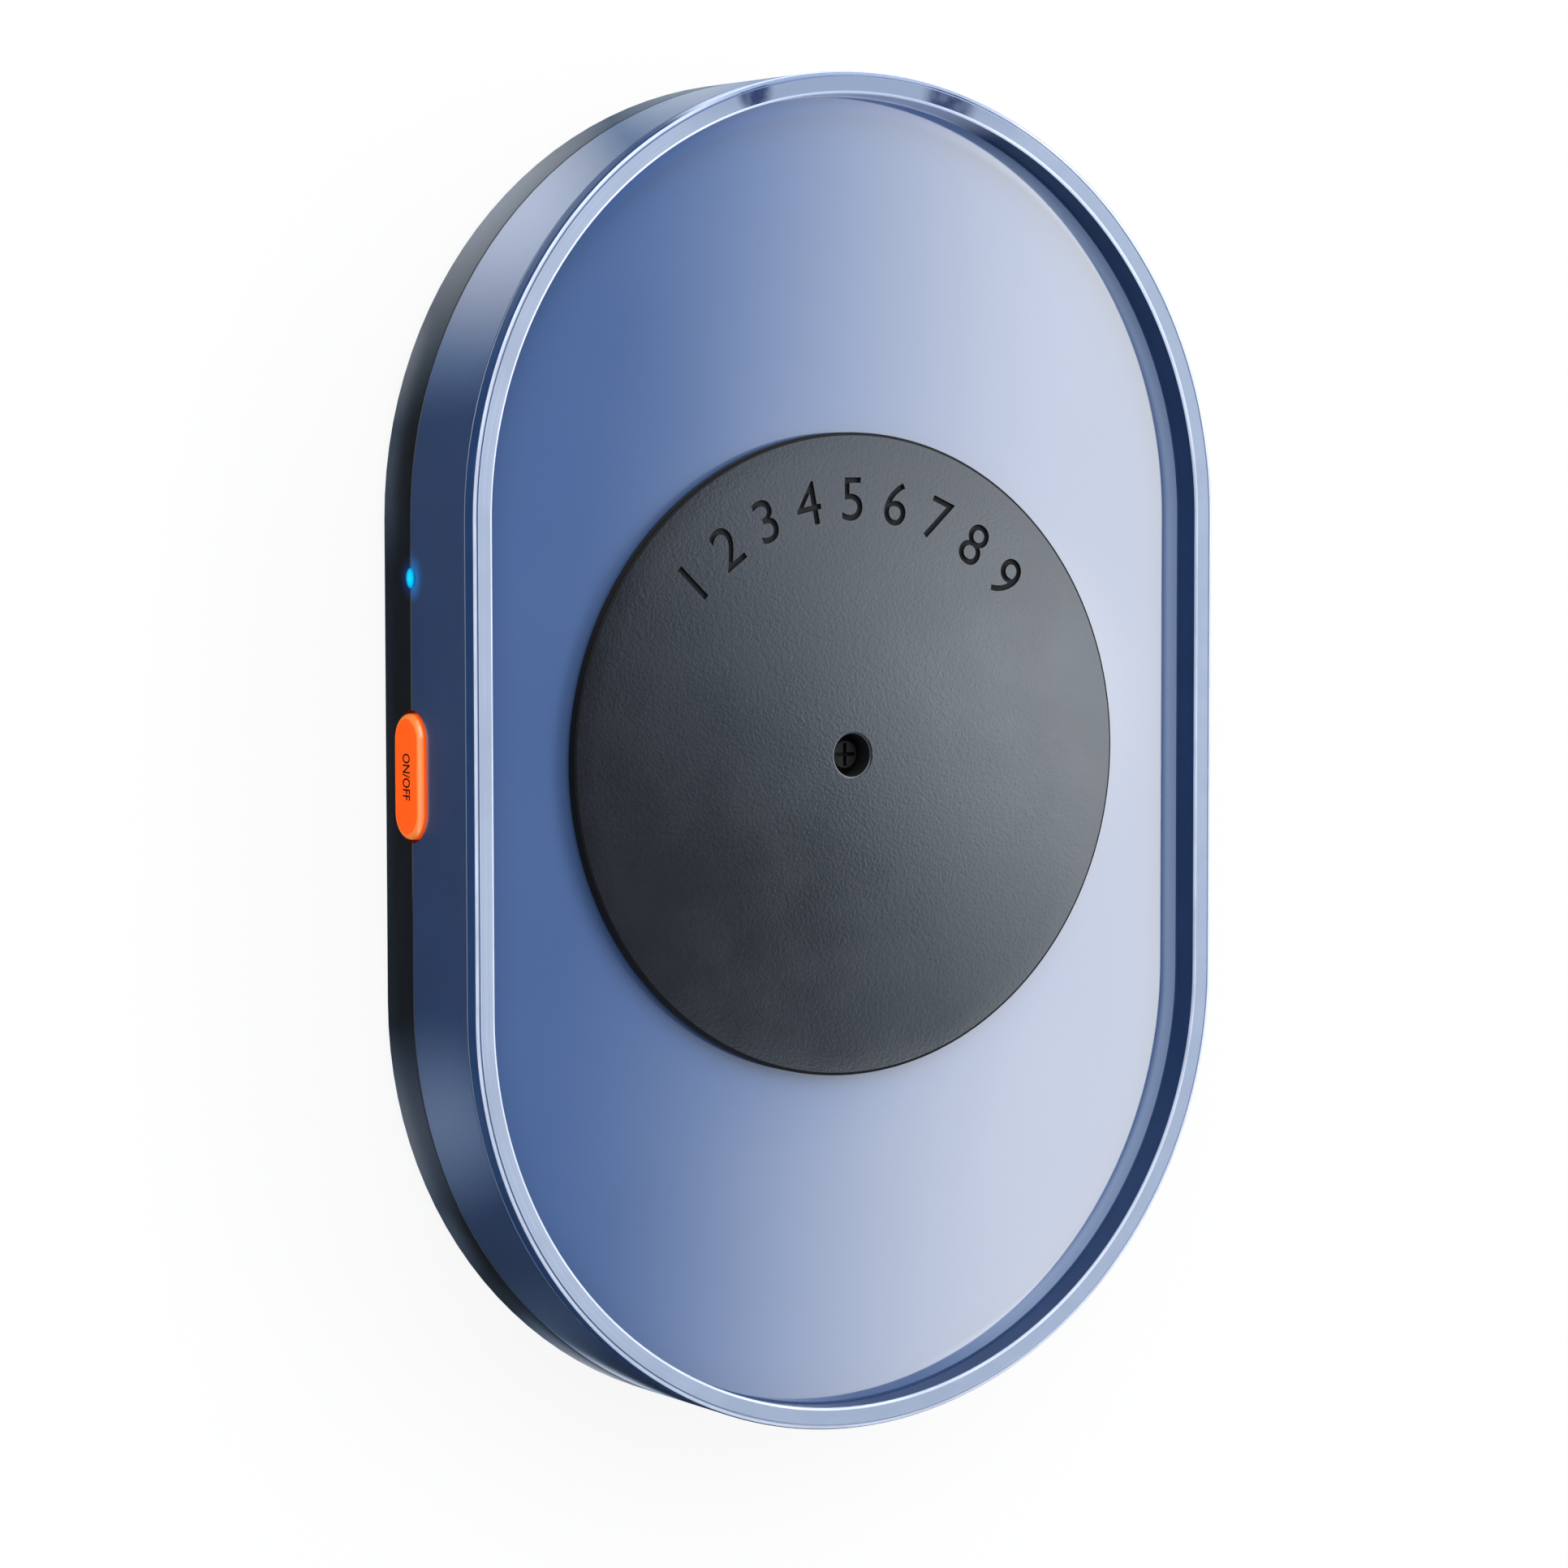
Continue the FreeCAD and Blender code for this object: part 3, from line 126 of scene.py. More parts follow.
def sweep_round_body(bm, corners):
    """Carries a profile of (radius, height) corners once round the body's stadium outline."""
    section = profile_line(bm, corners, END_CENTRE)
    for side in (1, -1):
        turn = bmesh.ops.spin(bm, geom=section, cent=(0, side * END_CENTRE, 0), axis=(0, 0, 1),
                              angle=math.pi, steps=ARC_STEPS, use_merge=False)
        section = turn["geom_last"]
        for _ in range(SIDE_STEPS):
            run = bmesh.ops.extrude_edge_only(bm, edges=edges_of(section))
            moved = verts_of(run["geom"])
            step = -side * 2 * END_CENTRE / SIDE_STEPS
            bmesh.ops.translate(bm, verts=moved, vec=(0, step, 0))
            kept = set(moved)
            section = moved + [edge for edge in edges_of(run["geom"])
                               if edge.verts[0] in kept and edge.verts[1] in kept]
    bmesh.ops.remove_doubles(bm, verts=bm.verts, dist=MERGE)


def spin_about_axis(bm, corners, closed=True, steps=ROUND_STEPS):
    """A full turn of a (radius, height) profile about the Z axis."""
    section = profile_line(bm, corners, 0.0)
    if closed:
        ends = verts_of(section)
        section.append(bm.edges.new((ends[-1], ends[0])))
    bmesh.ops.spin(bm, geom=section, cent=(0, 0, 0), axis=(0, 0, 1), angle=2 * math.pi,
                   steps=steps, use_merge=True)
    bmesh.ops.remove_doubles(bm, verts=bm.verts, dist=MERGE)


def circle_at(bm, radius, height):
    """Edges of a bare circle round the Z axis."""
    made = bmesh.ops.create_circle(bm, cap_ends=False, radius=radius, segments=ROUND_STEPS,
                                   matrix=Matrix.Translation((0, 0, height)))
    return list({edge for vert in made["verts"] for edge in vert.link_edges})


def edges_where(bm, measure, radius, height):
    """Edges whose both ends lie at one radius, by the given measure, and one height."""
    def there(vert):
        return (abs(measure(vert.co) - radius) < SAME_PLACE
                and abs(vert.co.z - height) < SAME_PLACE)
    return [edge for edge in bm.edges if there(edge.verts[0]) and there(edge.verts[1])]


def round_off(bm, edges, radius, segments=ROUNDING_STEPS):
    bmesh.ops.bevel(bm, geom=edges, offset=radius, offset_type="OFFSET", affect="EDGES",
                    segments=segments, profile=0.5, material=-1, clamp_overlap=True)


def fill_level(bm, height):
    """Fills the flat inside all open edges at one height, leaving inner loops as holes."""
    rims = [edge for edge in bm.edges if len(edge.link_faces) < 2
            and all(abs(vert.co.z - height) < MERGE for vert in edge.verts)]
    bmesh.ops.triangle_fill(bm, use_beauty=True, use_dissolve=False, edges=rims)


def mesh_from(bm, name):
    bmesh.ops.recalc_face_normals(bm, faces=bm.faces)
    mesh = bpy.data.meshes.new(name)
    bm.to_mesh(mesh)
    bm.free()
    return mesh


def welded(mesh):
    """A mesh's shape with its doubled points merged."""
    bm = bmesh.new()
    bm.from_mesh(mesh)
    bmesh.ops.remove_doubles(bm, verts=bm.verts, dist=MERGE)
    return bm


def link_object(name, data, *materials):
    thing = bpy.data.objects.new(name, data)
    bpy.context.scene.collection.objects.link(thing)
    for material in materials:
        data.materials.append(material)
    return thing


def evaluated_mesh(thing):
    """A new mesh of an object as its letters or modifiers make it."""
    bpy.context.view_layer.update()
    depsgraph = bpy.context.evaluated_depsgraph_get()
    return bpy.data.meshes.new_from_object(thing.evaluated_get(depsgraph))


def soften_shading(thing, sharp_angle):
    """Smooth shading that keeps big flats flat and edges over the angle crisp."""
    mesh = thing.data
    mesh.shade_smooth()
    mesh.set_sharp_from_angle(angle=math.radians(sharp_angle))
    weighted = thing.modifiers.new("flat_faces_lead", "WEIGHTED_NORMAL")
    weighted.mode = "FACE_AREA"
    weighted.weight = FLAT_FACES_WEIGHT
    weighted.keep_sharp = True


def carve(thing, cutters):
    """Cuts the cutter objects out of a piece for good and removes them."""
    for cutter in cutters:
        cut = thing.modifiers.new("cut", "BOOLEAN")
        cut.operation = "DIFFERENCE"
        cut.solver = "EXACT"
        cut.object = cutter
        cut.material_mode = "TRANSFER"
    carved = evaluated_mesh(thing)
    thing.modifiers.clear()
    thing.data = carved
    for cutter in cutters:
        bpy.data.objects.remove(cutter)


def merged_copy(node, name):
    """A welded copy of a CAD node's mesh, its flat faces whole again."""
    bm = welded(frame["nodes"][node].data)
    bmesh.ops.dissolve_limit(bm, angle_limit=math.radians(FLAT_WITHIN), verts=bm.verts,
                             edges=bm.edges)
    mesh = mesh_from(bm, name)
    if "custom_normal" in mesh.attributes:
        mesh.attributes.remove(mesh.attributes["custom_normal"])
    mesh.materials.clear()
    return link_object(name, mesh)


# ---------------------------------------------------------------- node tools

# most of a noise's values lie between these
NOISE_SPAN = (0.3, 0.7)
LEAST_ROUGHNESS = 0.02
SMUDGE_DETAIL = 4.0


def linear(red, green, blue):
    """A colour given as 0 to 255 screen values, as linear light with full opacity."""
    def channel(value):
        value /= 255
        return value / 12.92 if value <= 0.04045 else ((value + 0.055) / 1.055) ** 2.4
    return (channel(red), channel(green), channel(blue), 1.0)


class NodeTool:
    """Adds nodes to a tree and joins them.  A value is a number, a tuple or a node's output."""

    def __init__(self, tree):
        self.nodes, self.links = tree.nodes, tree.links
        self.where = self.add("TexCoord").outputs["Object"]

    def fill(self, node, *values, **named):
        """Sets or links a node's inputs, taken in their order or by their names."""
        pairs = list(zip(node.inputs, values))
        pairs += [(node.inputs[name.replace("_", " ")], value) for name, value in named.items()]
        for socket, value in pairs:
            if isinstance(value, bpy.types.NodeSocket):
                self.links.new(value, socket)
            else:
                socket.default_value = value
        return node

    def add(self, kind, *values, operation=None, **named):
        node = self.nodes.new("ShaderNode" + kind)
        if operation:
            node.operation = operation
        return self.fill(node, *values, **named)

    def maths(self, operation, *values):
        return self.add("Math", *values, operation=operation).outputs["Value"]

    def product(self, first, *others):
        for other in others:
            first = self.maths("MULTIPLY", first, other)
        return first

    def most(self, first, *others):
        """The largest of some values."""
        for other in others:
            first = self.maths("MAXIMUM", first, other)
        return first

    def dimmed(self, value, share):
        """A value less a share of itself."""
        return self.product(value, self.maths("SUBTRACT", 1.0, share))

    def ramp(self, value, from_low, from_high, to_low=0.0, to_high=1.0):
        """A smooth step from one value to another."""
        node = self.add("MapRange", Value=value, From_Min=from_low, From_Max=from_high,
                        To_Min=to_low, To_Max=to_high)
        node.interpolation_type = "SMOOTHSTEP"
        return node.outputs["Result"]

    def blend(self, factor, first, second):
        """Mixes two colours."""
        node = self.nodes.new("ShaderNodeMix")
        node.data_type = "RGBA"
        return self.fill(node, Factor=factor, A=first, B=second).outputs["Result"]

    def noise(self, grain, detail=3.0, where=None):
        """Noise whose features are about `grain` metres across."""
        node = self.add("TexNoise", Vector=where or self.where, Scale=1 / grain, Detail=detail)
        return node.outputs["Fac"]

    def patches(self, grain, detail=3.0, where=None, low=0.0, high=1.0):
        """Soft patches of noise between two values."""
        return self.ramp(self.noise(grain, detail, where), *NOISE_SPAN, low, high)

    def along(self, axis):
        """Place along one axis of the frame."""
        return self.add("SeparateXYZ", Vector=self.where).outputs[axis]

    def past(self, axis, start, end, low=0.0, high=1.0):
        """A smooth step between two places along an axis."""
        return self.ramp(self.along(axis), start, end, low, high)

    def stretched(self, along_x, along_y, along_z):
        """Object coordinates scaled apart, for drawn grain and ovals."""
        node = self.add("Mapping", Vector=self.where, Scale=(along_x, along_y, along_z))
        return node.outputs["Vector"]

    def distance_to(self, centre, where=None):
        node = self.add("VectorMath", where or self.where, centre, operation="DISTANCE")
        return node.outputs["Value"]

    def spot(self, centre, reach, strength=1.0):
        """A strength at a centre, fading smoothly to 0 at its reach."""
        return self.ramp(self.distance_to(centre), 0.0, reach, strength, 0.0)

    def spine_distance(self):
        """Distance from the body's centre line, so that a pattern can follow the rim round."""
        past_end = self.maths("SUBTRACT", self.maths("ABSOLUTE", self.along("Y")), END_CENTRE)
        past_end = self.most(past_end, 0.0)
        squares = [self.product(side, side) for side in (self.along("X"), past_end)]
        return self.maths("SQRT", self.maths("ADD", *squares))


class Finish(NodeTool):
    """A Principled material that is built up by layers of procedural detail."""

    def __init__(self, name, colour, roughness, **sockets):
        self.material = bpy.data.materials.new(name)
        self.material.use_nodes = True
        super().__init__(self.material.node_tree)
        self.shader = self.nodes["Principled BSDF"]
        self.colour = linear(*colour)
        self.roughness = roughness
        self.shade(Roughness=roughness, **sockets).paint(self.colour)

    def shade(self, **sockets):
        """Sets or links the shader's own sockets."""
        self.fill(self.shader, **sockets)
        return self

    def paint(self, colour):
        self.painted = colour
        return self.shade(Base_Color=colour)

    def scaled(self, share):
        """The finish's own colour, lighter or darker by a share."""
        return tuple(min(1.0, part * share) for part in self.colour[:3]) + (1.0,)

    def vary(self, mask, dark, light):
        """The finish's own colour between two shares of it, by a mask."""
        return self.paint(self.blend(mask, self.scaled(dark), self.scaled(light)))

    def mottle(self, grain, share):
        """Slight lighter and darker patches in the colour."""
        return self.vary(self.patches(grain), 1 - share, 1 + share)

    def lay(self, colour, *masks):
        """Lays another colour over the paint where all the masks are 1."""
        return self.paint(self.blend(self.product(*masks), self.painted, linear(*colour)))

    def smudge(self, grain, spread):
        """Patches that are a little more or less rough."""
        least = max(LEAST_ROUGHNESS, self.roughness - spread)
        return self.shade(Roughness=self.patches(grain, SMUDGE_DETAIL, None, least,
                                                 self.roughness + spread))

    def bump(self, height, unit):
        """Bump from a height that is given in a unit of length."""
        node = self.add("Bump", Strength=1.0, Distance=unit, Height=height)
        return self.shade(Normal=node.outputs["Normal"])

    def relief(self, grain, height, detail=2.0, where=None):
        """Surface texture of the given grain and height."""
        return self.bump(self.noise(grain, detail, where), height)

    def glow(self, colour, strength):
        return self.shade(Emission_Color=colour, Emission_Strength=strength)

    def lit_near(self, centre, reach, colour, strength):
        """Painted glow round a lamp: light of its own in the plastic that fades with distance."""
        return self.glow(linear(*colour), self.spot(centre, reach, strength))


# ---------------------------------------------------------------- materials


def black_shell():
    finish = Finish("black_shell", (29, 31, 33), 0.34, Specular_IOR_Level=0.4, Coat_Weight=0.4,
                    Coat_Roughness=0.3, Coat_IOR=1.7)
    finish.mottle(9 * MM, 0.08).smudge(14 * MM, 0.04).relief(0.16 * MM, 0.002 * MM)
    return finish.lit_near(LIGHT_FACE, 2.4 * MM, (30, 75, 150), 0.4).material


def blue_satin():
    finish = Finish("blue_satin", (54, 77, 119), 0.34, Coat_Weight=1.0, Coat_Roughness=0.12,
                    Coat_IOR=2.1, Specular_IOR_Level=1.0)
    finish.mottle(11 * MM, 0.04).smudge(16 * MM, 0.03).relief(4 * MM, 0.0008 * MM, 0.0)
    return finish.lit_near(LIGHT_FACE, 2.7 * MM, (0, 125, 215), 0.85).material


def blue_gloss():
    """Polished blue plastic with painted light beside the rim: a stronger blue at the far end,
    and a pale strip on the right as a painted reflection.
    """
    finish = Finish("blue_gloss", (79, 104, 149), 0.08, Coat_Weight=1.0, Coat_Roughness=0.03,
                    Coat_IOR=1.8, Specular_IOR_Level=0.8, Specular_Tint=(1.0, 0.95, 0.72, 1.0))
    finish.mottle(22 * MM, 0.02)
    # painted light: a stronger blue beside the rim at the far end
    corner = finish.ramp(finish.spine_distance(), 38.0 * MM, 39.3 * MM, 0.0, 0.5)
    finish.lay((84, 128, 202), corner, finish.past("Y", 44 * MM, 56 * MM))
    # painted reflection: a pale strip beside the rim on the right
    painted_reflection_strip = finish.ramp(finish.spine_distance(), 38.1 * MM, 39.0 * MM, 0.0, 0.85)
    finish.lay((162, 180, 210), painted_reflection_strip, finish.past("X", 6 * MM, 24 * MM))
    return finish.smudge(18 * MM, 0.02).relief(1.4 * MM, 0.0006 * MM).material


def wall_painted_shade():
    """Rim's upright walls: the tray's blue darkened as painted shade, and pale at the far end
    from painted light.
    """
    finish = Finish("wall_painted_shade", (41, 67, 108), 0.2, Specular_IOR_Level=0.12)
    # darker blue as painted shade, with painted light making the far end pale
    finish.mottle(5 * MM, 0.06).lay((205, 218, 245), finish.past("Y", 59 * MM, 61.8 * MM))
    return finish.smudge(9 * MM, 0.04).relief(0.9 * MM, 0.0006 * MM).material


# painted dark reflections (glints) on the rim: each glint's centre and reach, and the share of
# its reach that is full
RIM_GLINTS = (
    ((-12.0 * MM, 62.6 * MM, RIM_TOP), 2.4 * MM),
    ((10.2 * MM, 62.6 * MM, RIM_TOP), 3.6 * MM),
)
GLINT_CORE = 0.45


def rim_top_reflection():
    """Rim's top, painted pale as a reflection, with faint streaks along it; the painted
    reflection is dimmer towards the right and at the far end, and has two painted dark
    reflections (glints) at the far end.
    """
    finish = Finish("rim_top_reflection", (166, 177, 198), 0.34, Specular_IOR_Level=0.2)
    outwards = finish.add("CombineXYZ", X=finish.spine_distance()).outputs["Vector"]
    streaks = finish.patches(0.16 * MM, 2.0, outwards)
    streaky = finish.ramp(finish.noise(9 * MM), 0.35, 0.65)
    finish.vary(finish.product(streaks, streaky), 0.9, 1.12)
    # painted reflection dimmer towards the right, in soft patches
    across = finish.past("X", -38 * MM, -8 * MM, 0.15, 0.9)
    finish.lay((146, 160, 182), across, finish.patches(3.2 * MM, low=0.7, high=1.0))
    # darker at the far end
    finish.lay((131, 146, 170), finish.past("Y", 58 * MM, 62.5 * MM))
    # glints: dark reflections painted onto the rim
    for place, reach in RIM_GLINTS:
        dark = finish.ramp(finish.distance_to(place), GLINT_CORE * reach, reach, 1.0, 0.0)
        broken = finish.ramp(finish.noise(1.5 * MM, 2.0), 0.35, 0.6, 0.75, 1.0)
        finish.lay((20, 40, 84), dark, broken)
    return finish.smudge(7 * MM, 0.05).relief(0.9 * MM, 0.0006 * MM).material


# strength of the painted glow on the rim's inner edge towards the far end
RIM_GLOW = 0.5


def rim_edge_highlight():
    """Polished round edges of the rim, painted pale as a highlight, with a painted glow along the
    inner edge.
    """
    finish = Finish("rim_edge_highlight", (205, 214, 232), 0.12, Coat_Weight=0.5, Coat_IOR=1.5)
    finish.vary(finish.patches(6 * MM), 0.88, 1.1)
    # darker at the far end
    finish.lay((112, 134, 172), finish.past("Y", 59 * MM, 63.5 * MM))
    # painted glow along the inner edge, growing towards the far end
    inner = finish.ramp(finish.spine_distance(), 40.7 * MM, 41.2 * MM, RIM_GLOW, 0.0)
    finish.glow(finish.colour, finish.product(inner, finish.past("Y", 18 * MM, 50 * MM)))
    return finish.smudge(5 * MM, 0.03).relief(1.1 * MM, 0.0005 * MM).material


# height of the disc's dish in metres at a metre from its centre, growing as the square
DISC_DISH = 0.15
DISC_GRAIN = 0.0034 * MM


def disc_graphite():
    """Satin graphite plastic with a fine grain, its face very slightly dished."""
    finish = Finish("disc_graphite", (23, 25, 29), 0.11, Specular_IOR_Level=0.79,
                    Specular_Tint=(0.82, 0.895, 1.0, 1.0))
    finish.mottle(0.4 * MM, 0.16).smudge(6 * MM, 0.01)
    out = finish.distance_to((0, 0, disc_high.z))
    grain = finish.product(finish.noise(0.3 * MM, 2.0), DISC_GRAIN)
    height = finish.maths("ADD", finish.product(out, out, DISC_DISH), grain)
    return finish.bump(height, 1.0).material


# painted shade: the disc's side and edge round in a darker, duller copy of its graphite
def disc_side_shade():
    finish = Finish("disc_side_shade", (8, 8, 10), 0.5, Specular_IOR_Level=0.15)
    return finish.mottle(0.8 * MM, 0.15).relief(0.2 * MM, 0.003 * MM).material


# black of the engraved numbers and letters, also laid in the disc's screw pocket as painted shade
def engraved_and_pocket_shade():
    finish = Finish("engraved_and_pocket_shade", (12, 12, 14), 0.7, Specular_IOR_Level=0.3)
    return finish.mottle(0.4 * MM, 0.2).relief(0.08 * MM, 0.006 * MM).material


def screw_pocket_shade():
    """Dull dark steel, painted dark as the shade in the disc's pocket."""
    finish = Finish("screw_pocket_shade", (15, 15, 16), 0.62, Specular_IOR_Level=0.2)
    finish.mottle(0.7 * MM, 0.15).smudge(0.9 * MM, 0.06)
    return finish.relief(0.1 * MM, 0.004 * MM).material


def key_plastic(name, colour, roughness, glow, strength, **sockets):
    """Vivid plastic of the button, with a painted glow."""
    finish = Finish(name, colour, roughness, Coat_IOR=1.8, **sockets)
    finish.mottle(2.5 * MM, 0.04).smudge(3 * MM, 0.05).relief(0.12 * MM, 0.001 * MM)
    return finish.glow(linear(*glow), strength).material


# how much shorter the lit oval is in height than along the wall
LIGHT_SQUASH = 1.3


def light_window():
    """Clear lens, lit from behind in an oval that lies along the wall."""
    finish = Finish("light_window", (0, 80, 125), 0.15)
    centre = (0, LIGHT_CENTRE.y, LIGHT_CENTRE.z * LIGHT_SQUASH)
    out = finish.distance_to(centre, finish.stretched(0, 1, LIGHT_SQUASH))
    colour = finish.blend(finish.ramp(out, 0.1 * MM, 0.9 * MM),
                          linear(20, 218, 255), linear(0, 185, 250))
    finish.glow(colour, finish.ramp(out, 0.6 * MM, 1.15 * MM, 1.0, 0.15))
    return finish.mottle(0.6 * MM, 0.05).relief(0.2 * MM, 0.001 * MM).material


def foot_rubber():
    finish = Finish("foot_rubber", (30, 30, 31), 0.8, Specular_IOR_Level=0.3)
    finish.mottle(1.6 * MM, 0.12).smudge(3 * MM, 0.08)
    return finish.relief(0.25 * MM, 0.02 * MM).material


def metal(name, colour, roughness, grain):
    """Bare metal with fine drawn lines along its axis."""
    finish = Finish(name, colour, roughness, Metallic=1.0)
    finish.mottle(2 * MM, 0.06).smudge(1.5 * MM, 0.05)
    return finish.relief(grain, 0.0015 * MM, where=finish.stretched(1, 1, 8)).material


def moulding(name, colour, roughness, grain):
    """Plain moulded plastic with a fine tool texture."""
    finish = Finish(name, colour, roughness)
    return finish.mottle(3 * MM, 0.05).smudge(4 * MM, 0.05).relief(grain, 0.006 * MM).material


def board_laminate():
    """Green solder mask, paler where copper runs lie under it."""
    finish = Finish("board_laminate", (14, 70, 42), 0.36, Coat_Weight=0.4)
    runs = finish.add("TexBrick", Vector=finish.where, Scale=1 / (9 * MM), Mortar_Size=0.03,
                      Color1=finish.scaled(0.9), Color2=finish.scaled(1.05),
                      Mortar=finish.scaled(1.9))
    finish.paint(runs.outputs["Color"])
    return finish.smudge(4 * MM, 0.06).relief(0.5 * MM, 0.008 * MM).material


MATERIALS = {
    "black_shell": black_shell(),
    "blue_satin": blue_satin(),
    "blue_gloss": blue_gloss(),
    "disc_graphite": disc_graphite(),
    # the button glows with painted light
    "button_orange": key_plastic("button_orange", (255, 96, 4), 0.34, (255, 82, 0), 0.55,
                                 Coat_Weight=0.8, Specular_IOR_Level=0.3),
    "light_window": light_window(),
    "foot_rubber": foot_rubber(),
    "screw_steel": metal("screw_steel", (98, 99, 102), 0.34, 0.08 * MM),
    "bright_steel": metal("bright_steel", (188, 190, 194), 0.2, 0.05 * MM),
    "plate_steel": metal("plate_steel", (168, 170, 172), 0.35, 0.12 * MM),
    "brass_pinion": metal("brass_pinion", (196, 158, 84), 0.2, 0.06 * MM),
    "bush_acetal": moulding("bush_acetal", (226, 224, 216), 0.4, 0.1 * MM),
    "gear_acetal": moulding("gear_acetal", (232, 230, 222), 0.42, 0.12 * MM),
    "dark_moulding": moulding("dark_moulding", (26, 26, 28), 0.5, 0.1 * MM),
    "pale_moulding": moulding("pale_moulding", (222, 218, 204), 0.45, 0.1 * MM),
    "capacitor_sleeve": moulding("capacitor_sleeve", (28, 34, 58), 0.36, 0.3 * MM),
    "board_laminate": board_laminate(),
}
# the rim's top, painted pale as a reflection
RIM_TOP_REFLECTION = rim_top_reflection()
# the rim's round edges, painted pale as a highlight
RIM_EDGE_HIGHLIGHT = rim_edge_highlight()
# the rim's walls, with painted shade
WALL_PAINTED_SHADE = wall_painted_shade()
# rounded edge of the button's face, painted a lighter orange as a highlight, with a painted glow
BUTTON_ROUND_HIGHLIGHT = key_plastic("button_round_highlight", (255, 140, 62), 0.2, (255, 128, 50), 0.4,
                         Coat_Weight=1.0)
# engraved black, also the painted shade in the disc's pocket
ENGRAVED_AND_POCKET_SHADE = engraved_and_pocket_shade()
# the disc's side, with painted shade
DISC_SIDE_SHADE = disc_side_shade()
# the disc screw, painted dark as shade
SCREW_POCKET_SHADE = screw_pocket_shade()


def dress_nodes():
    """Every CAD node gets the material of its slot."""
    for part in frame["record"]["subparts"]:
        mesh = frame["nodes"][part["node"]].data
        mesh.materials.clear()
        mesh.materials.append(MATERIALS[part["material_slot"]])


def finished_piece(thing, slot, body, *nodes, sharp_angle=SHARP_ANGLE):
    """Shades a piece and hangs it on a body; it takes the slot's material if it has none, and the
    CAD nodes that it stands for are hidden.
    """
    if not thing.data.materials:
        thing.data.materials.append(MATERIALS[slot])
    soften_shading(thing, sharp_angle)
    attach(thing, body)
    if nodes:
        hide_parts(*nodes)


# ---------------------------------------------------------------- housing


def housing_shells():
    """Base and side band, welded and with their small edge breaks shaded round."""
    finished_piece(merged_copy("base_cover", "base_shell"), "black_shell", "case",
                   "base_cover", sharp_angle=SHELL_SHARP_ANGLE)
    finished_piece(merged_copy("side_band", "blue_band"), "blue_satin", "case",
                   "side_band", sharp_angle=SHELL_SHARP_ANGLE)


RIM_WIDTH = 2.1 * MM
RIM_INSIDE = HALF_WIDTH - RIM_WIDTH
RIM_HEIGHT = 1.45 * MM
RIM_BASE = RIM_TOP - RIM_HEIGHT
LID_INSET = 1.1 * MM
TRAY_THICKNESS = 1.6 * MM
COLLAR_DROP = 0.4 * MM
BUSH_SEAT = 5.05 * MM
COLLAR = 6.45 * MM
RIM_OUTER_ROUND = 0.34 * MM
RIM_INNER_ROUND = 0.24 * MM
# share of a round's radius that it has dropped where it has turned half way
HALF_TURNED = 0.293
FACET_SLACK = 0.02 * MM
FLOOR_CORNER_ROUND = 0.15 * MM
LIP_BREAK = 0.06 * MM
GROOVE_INSET = 0.42 * MM
GROOVE_WIDTH = 0.13 * MM
GROOVE_DEPTH = 0.09 * MM
# the tray's finishes, in the order of its materials: gloss, the rim's top with a painted
# reflection, round edges with a painted highlight, and walls and creases with painted shade
GLOSS, RIM_FACE, BRIGHT_EDGE, PAINTED_SHADE_ZONE = range(4)


def tray_zone(centre):
    """Which of the tray's finishes a face has, by the place of its centre."""
    radius = spine_radius(centre)
    corner = RIM_INSIDE - FLOOR_CORNER_ROUND
    inside = RIM_INSIDE + FACET_SLACK
    # upright walls, the floor's corner round and the outer round's lower half take painted shade
    if radius < corner - FACET_SLACK or centre.z < RIM_BASE - MERGE:
        return PAINTED_SHADE_ZONE if corner < radius < inside else GLOSS
    if centre.z < RIM_TOP - RIM_INNER_ROUND and radius < inside:
        return PAINTED_SHADE_ZONE
    if radius > HALF_WIDTH - RIM_OUTER_ROUND - FACET_SLACK:
        turned = RIM_TOP - HALF_TURNED * RIM_OUTER_ROUND
        return PAINTED_SHADE_ZONE if centre.z < turned else BRIGHT_EDGE
    if radius < inside + RIM_INNER_ROUND:
        return BRIGHT_EDGE
    return RIM_FACE if centre.z > RIM_TOP - MERGE else GLOSS


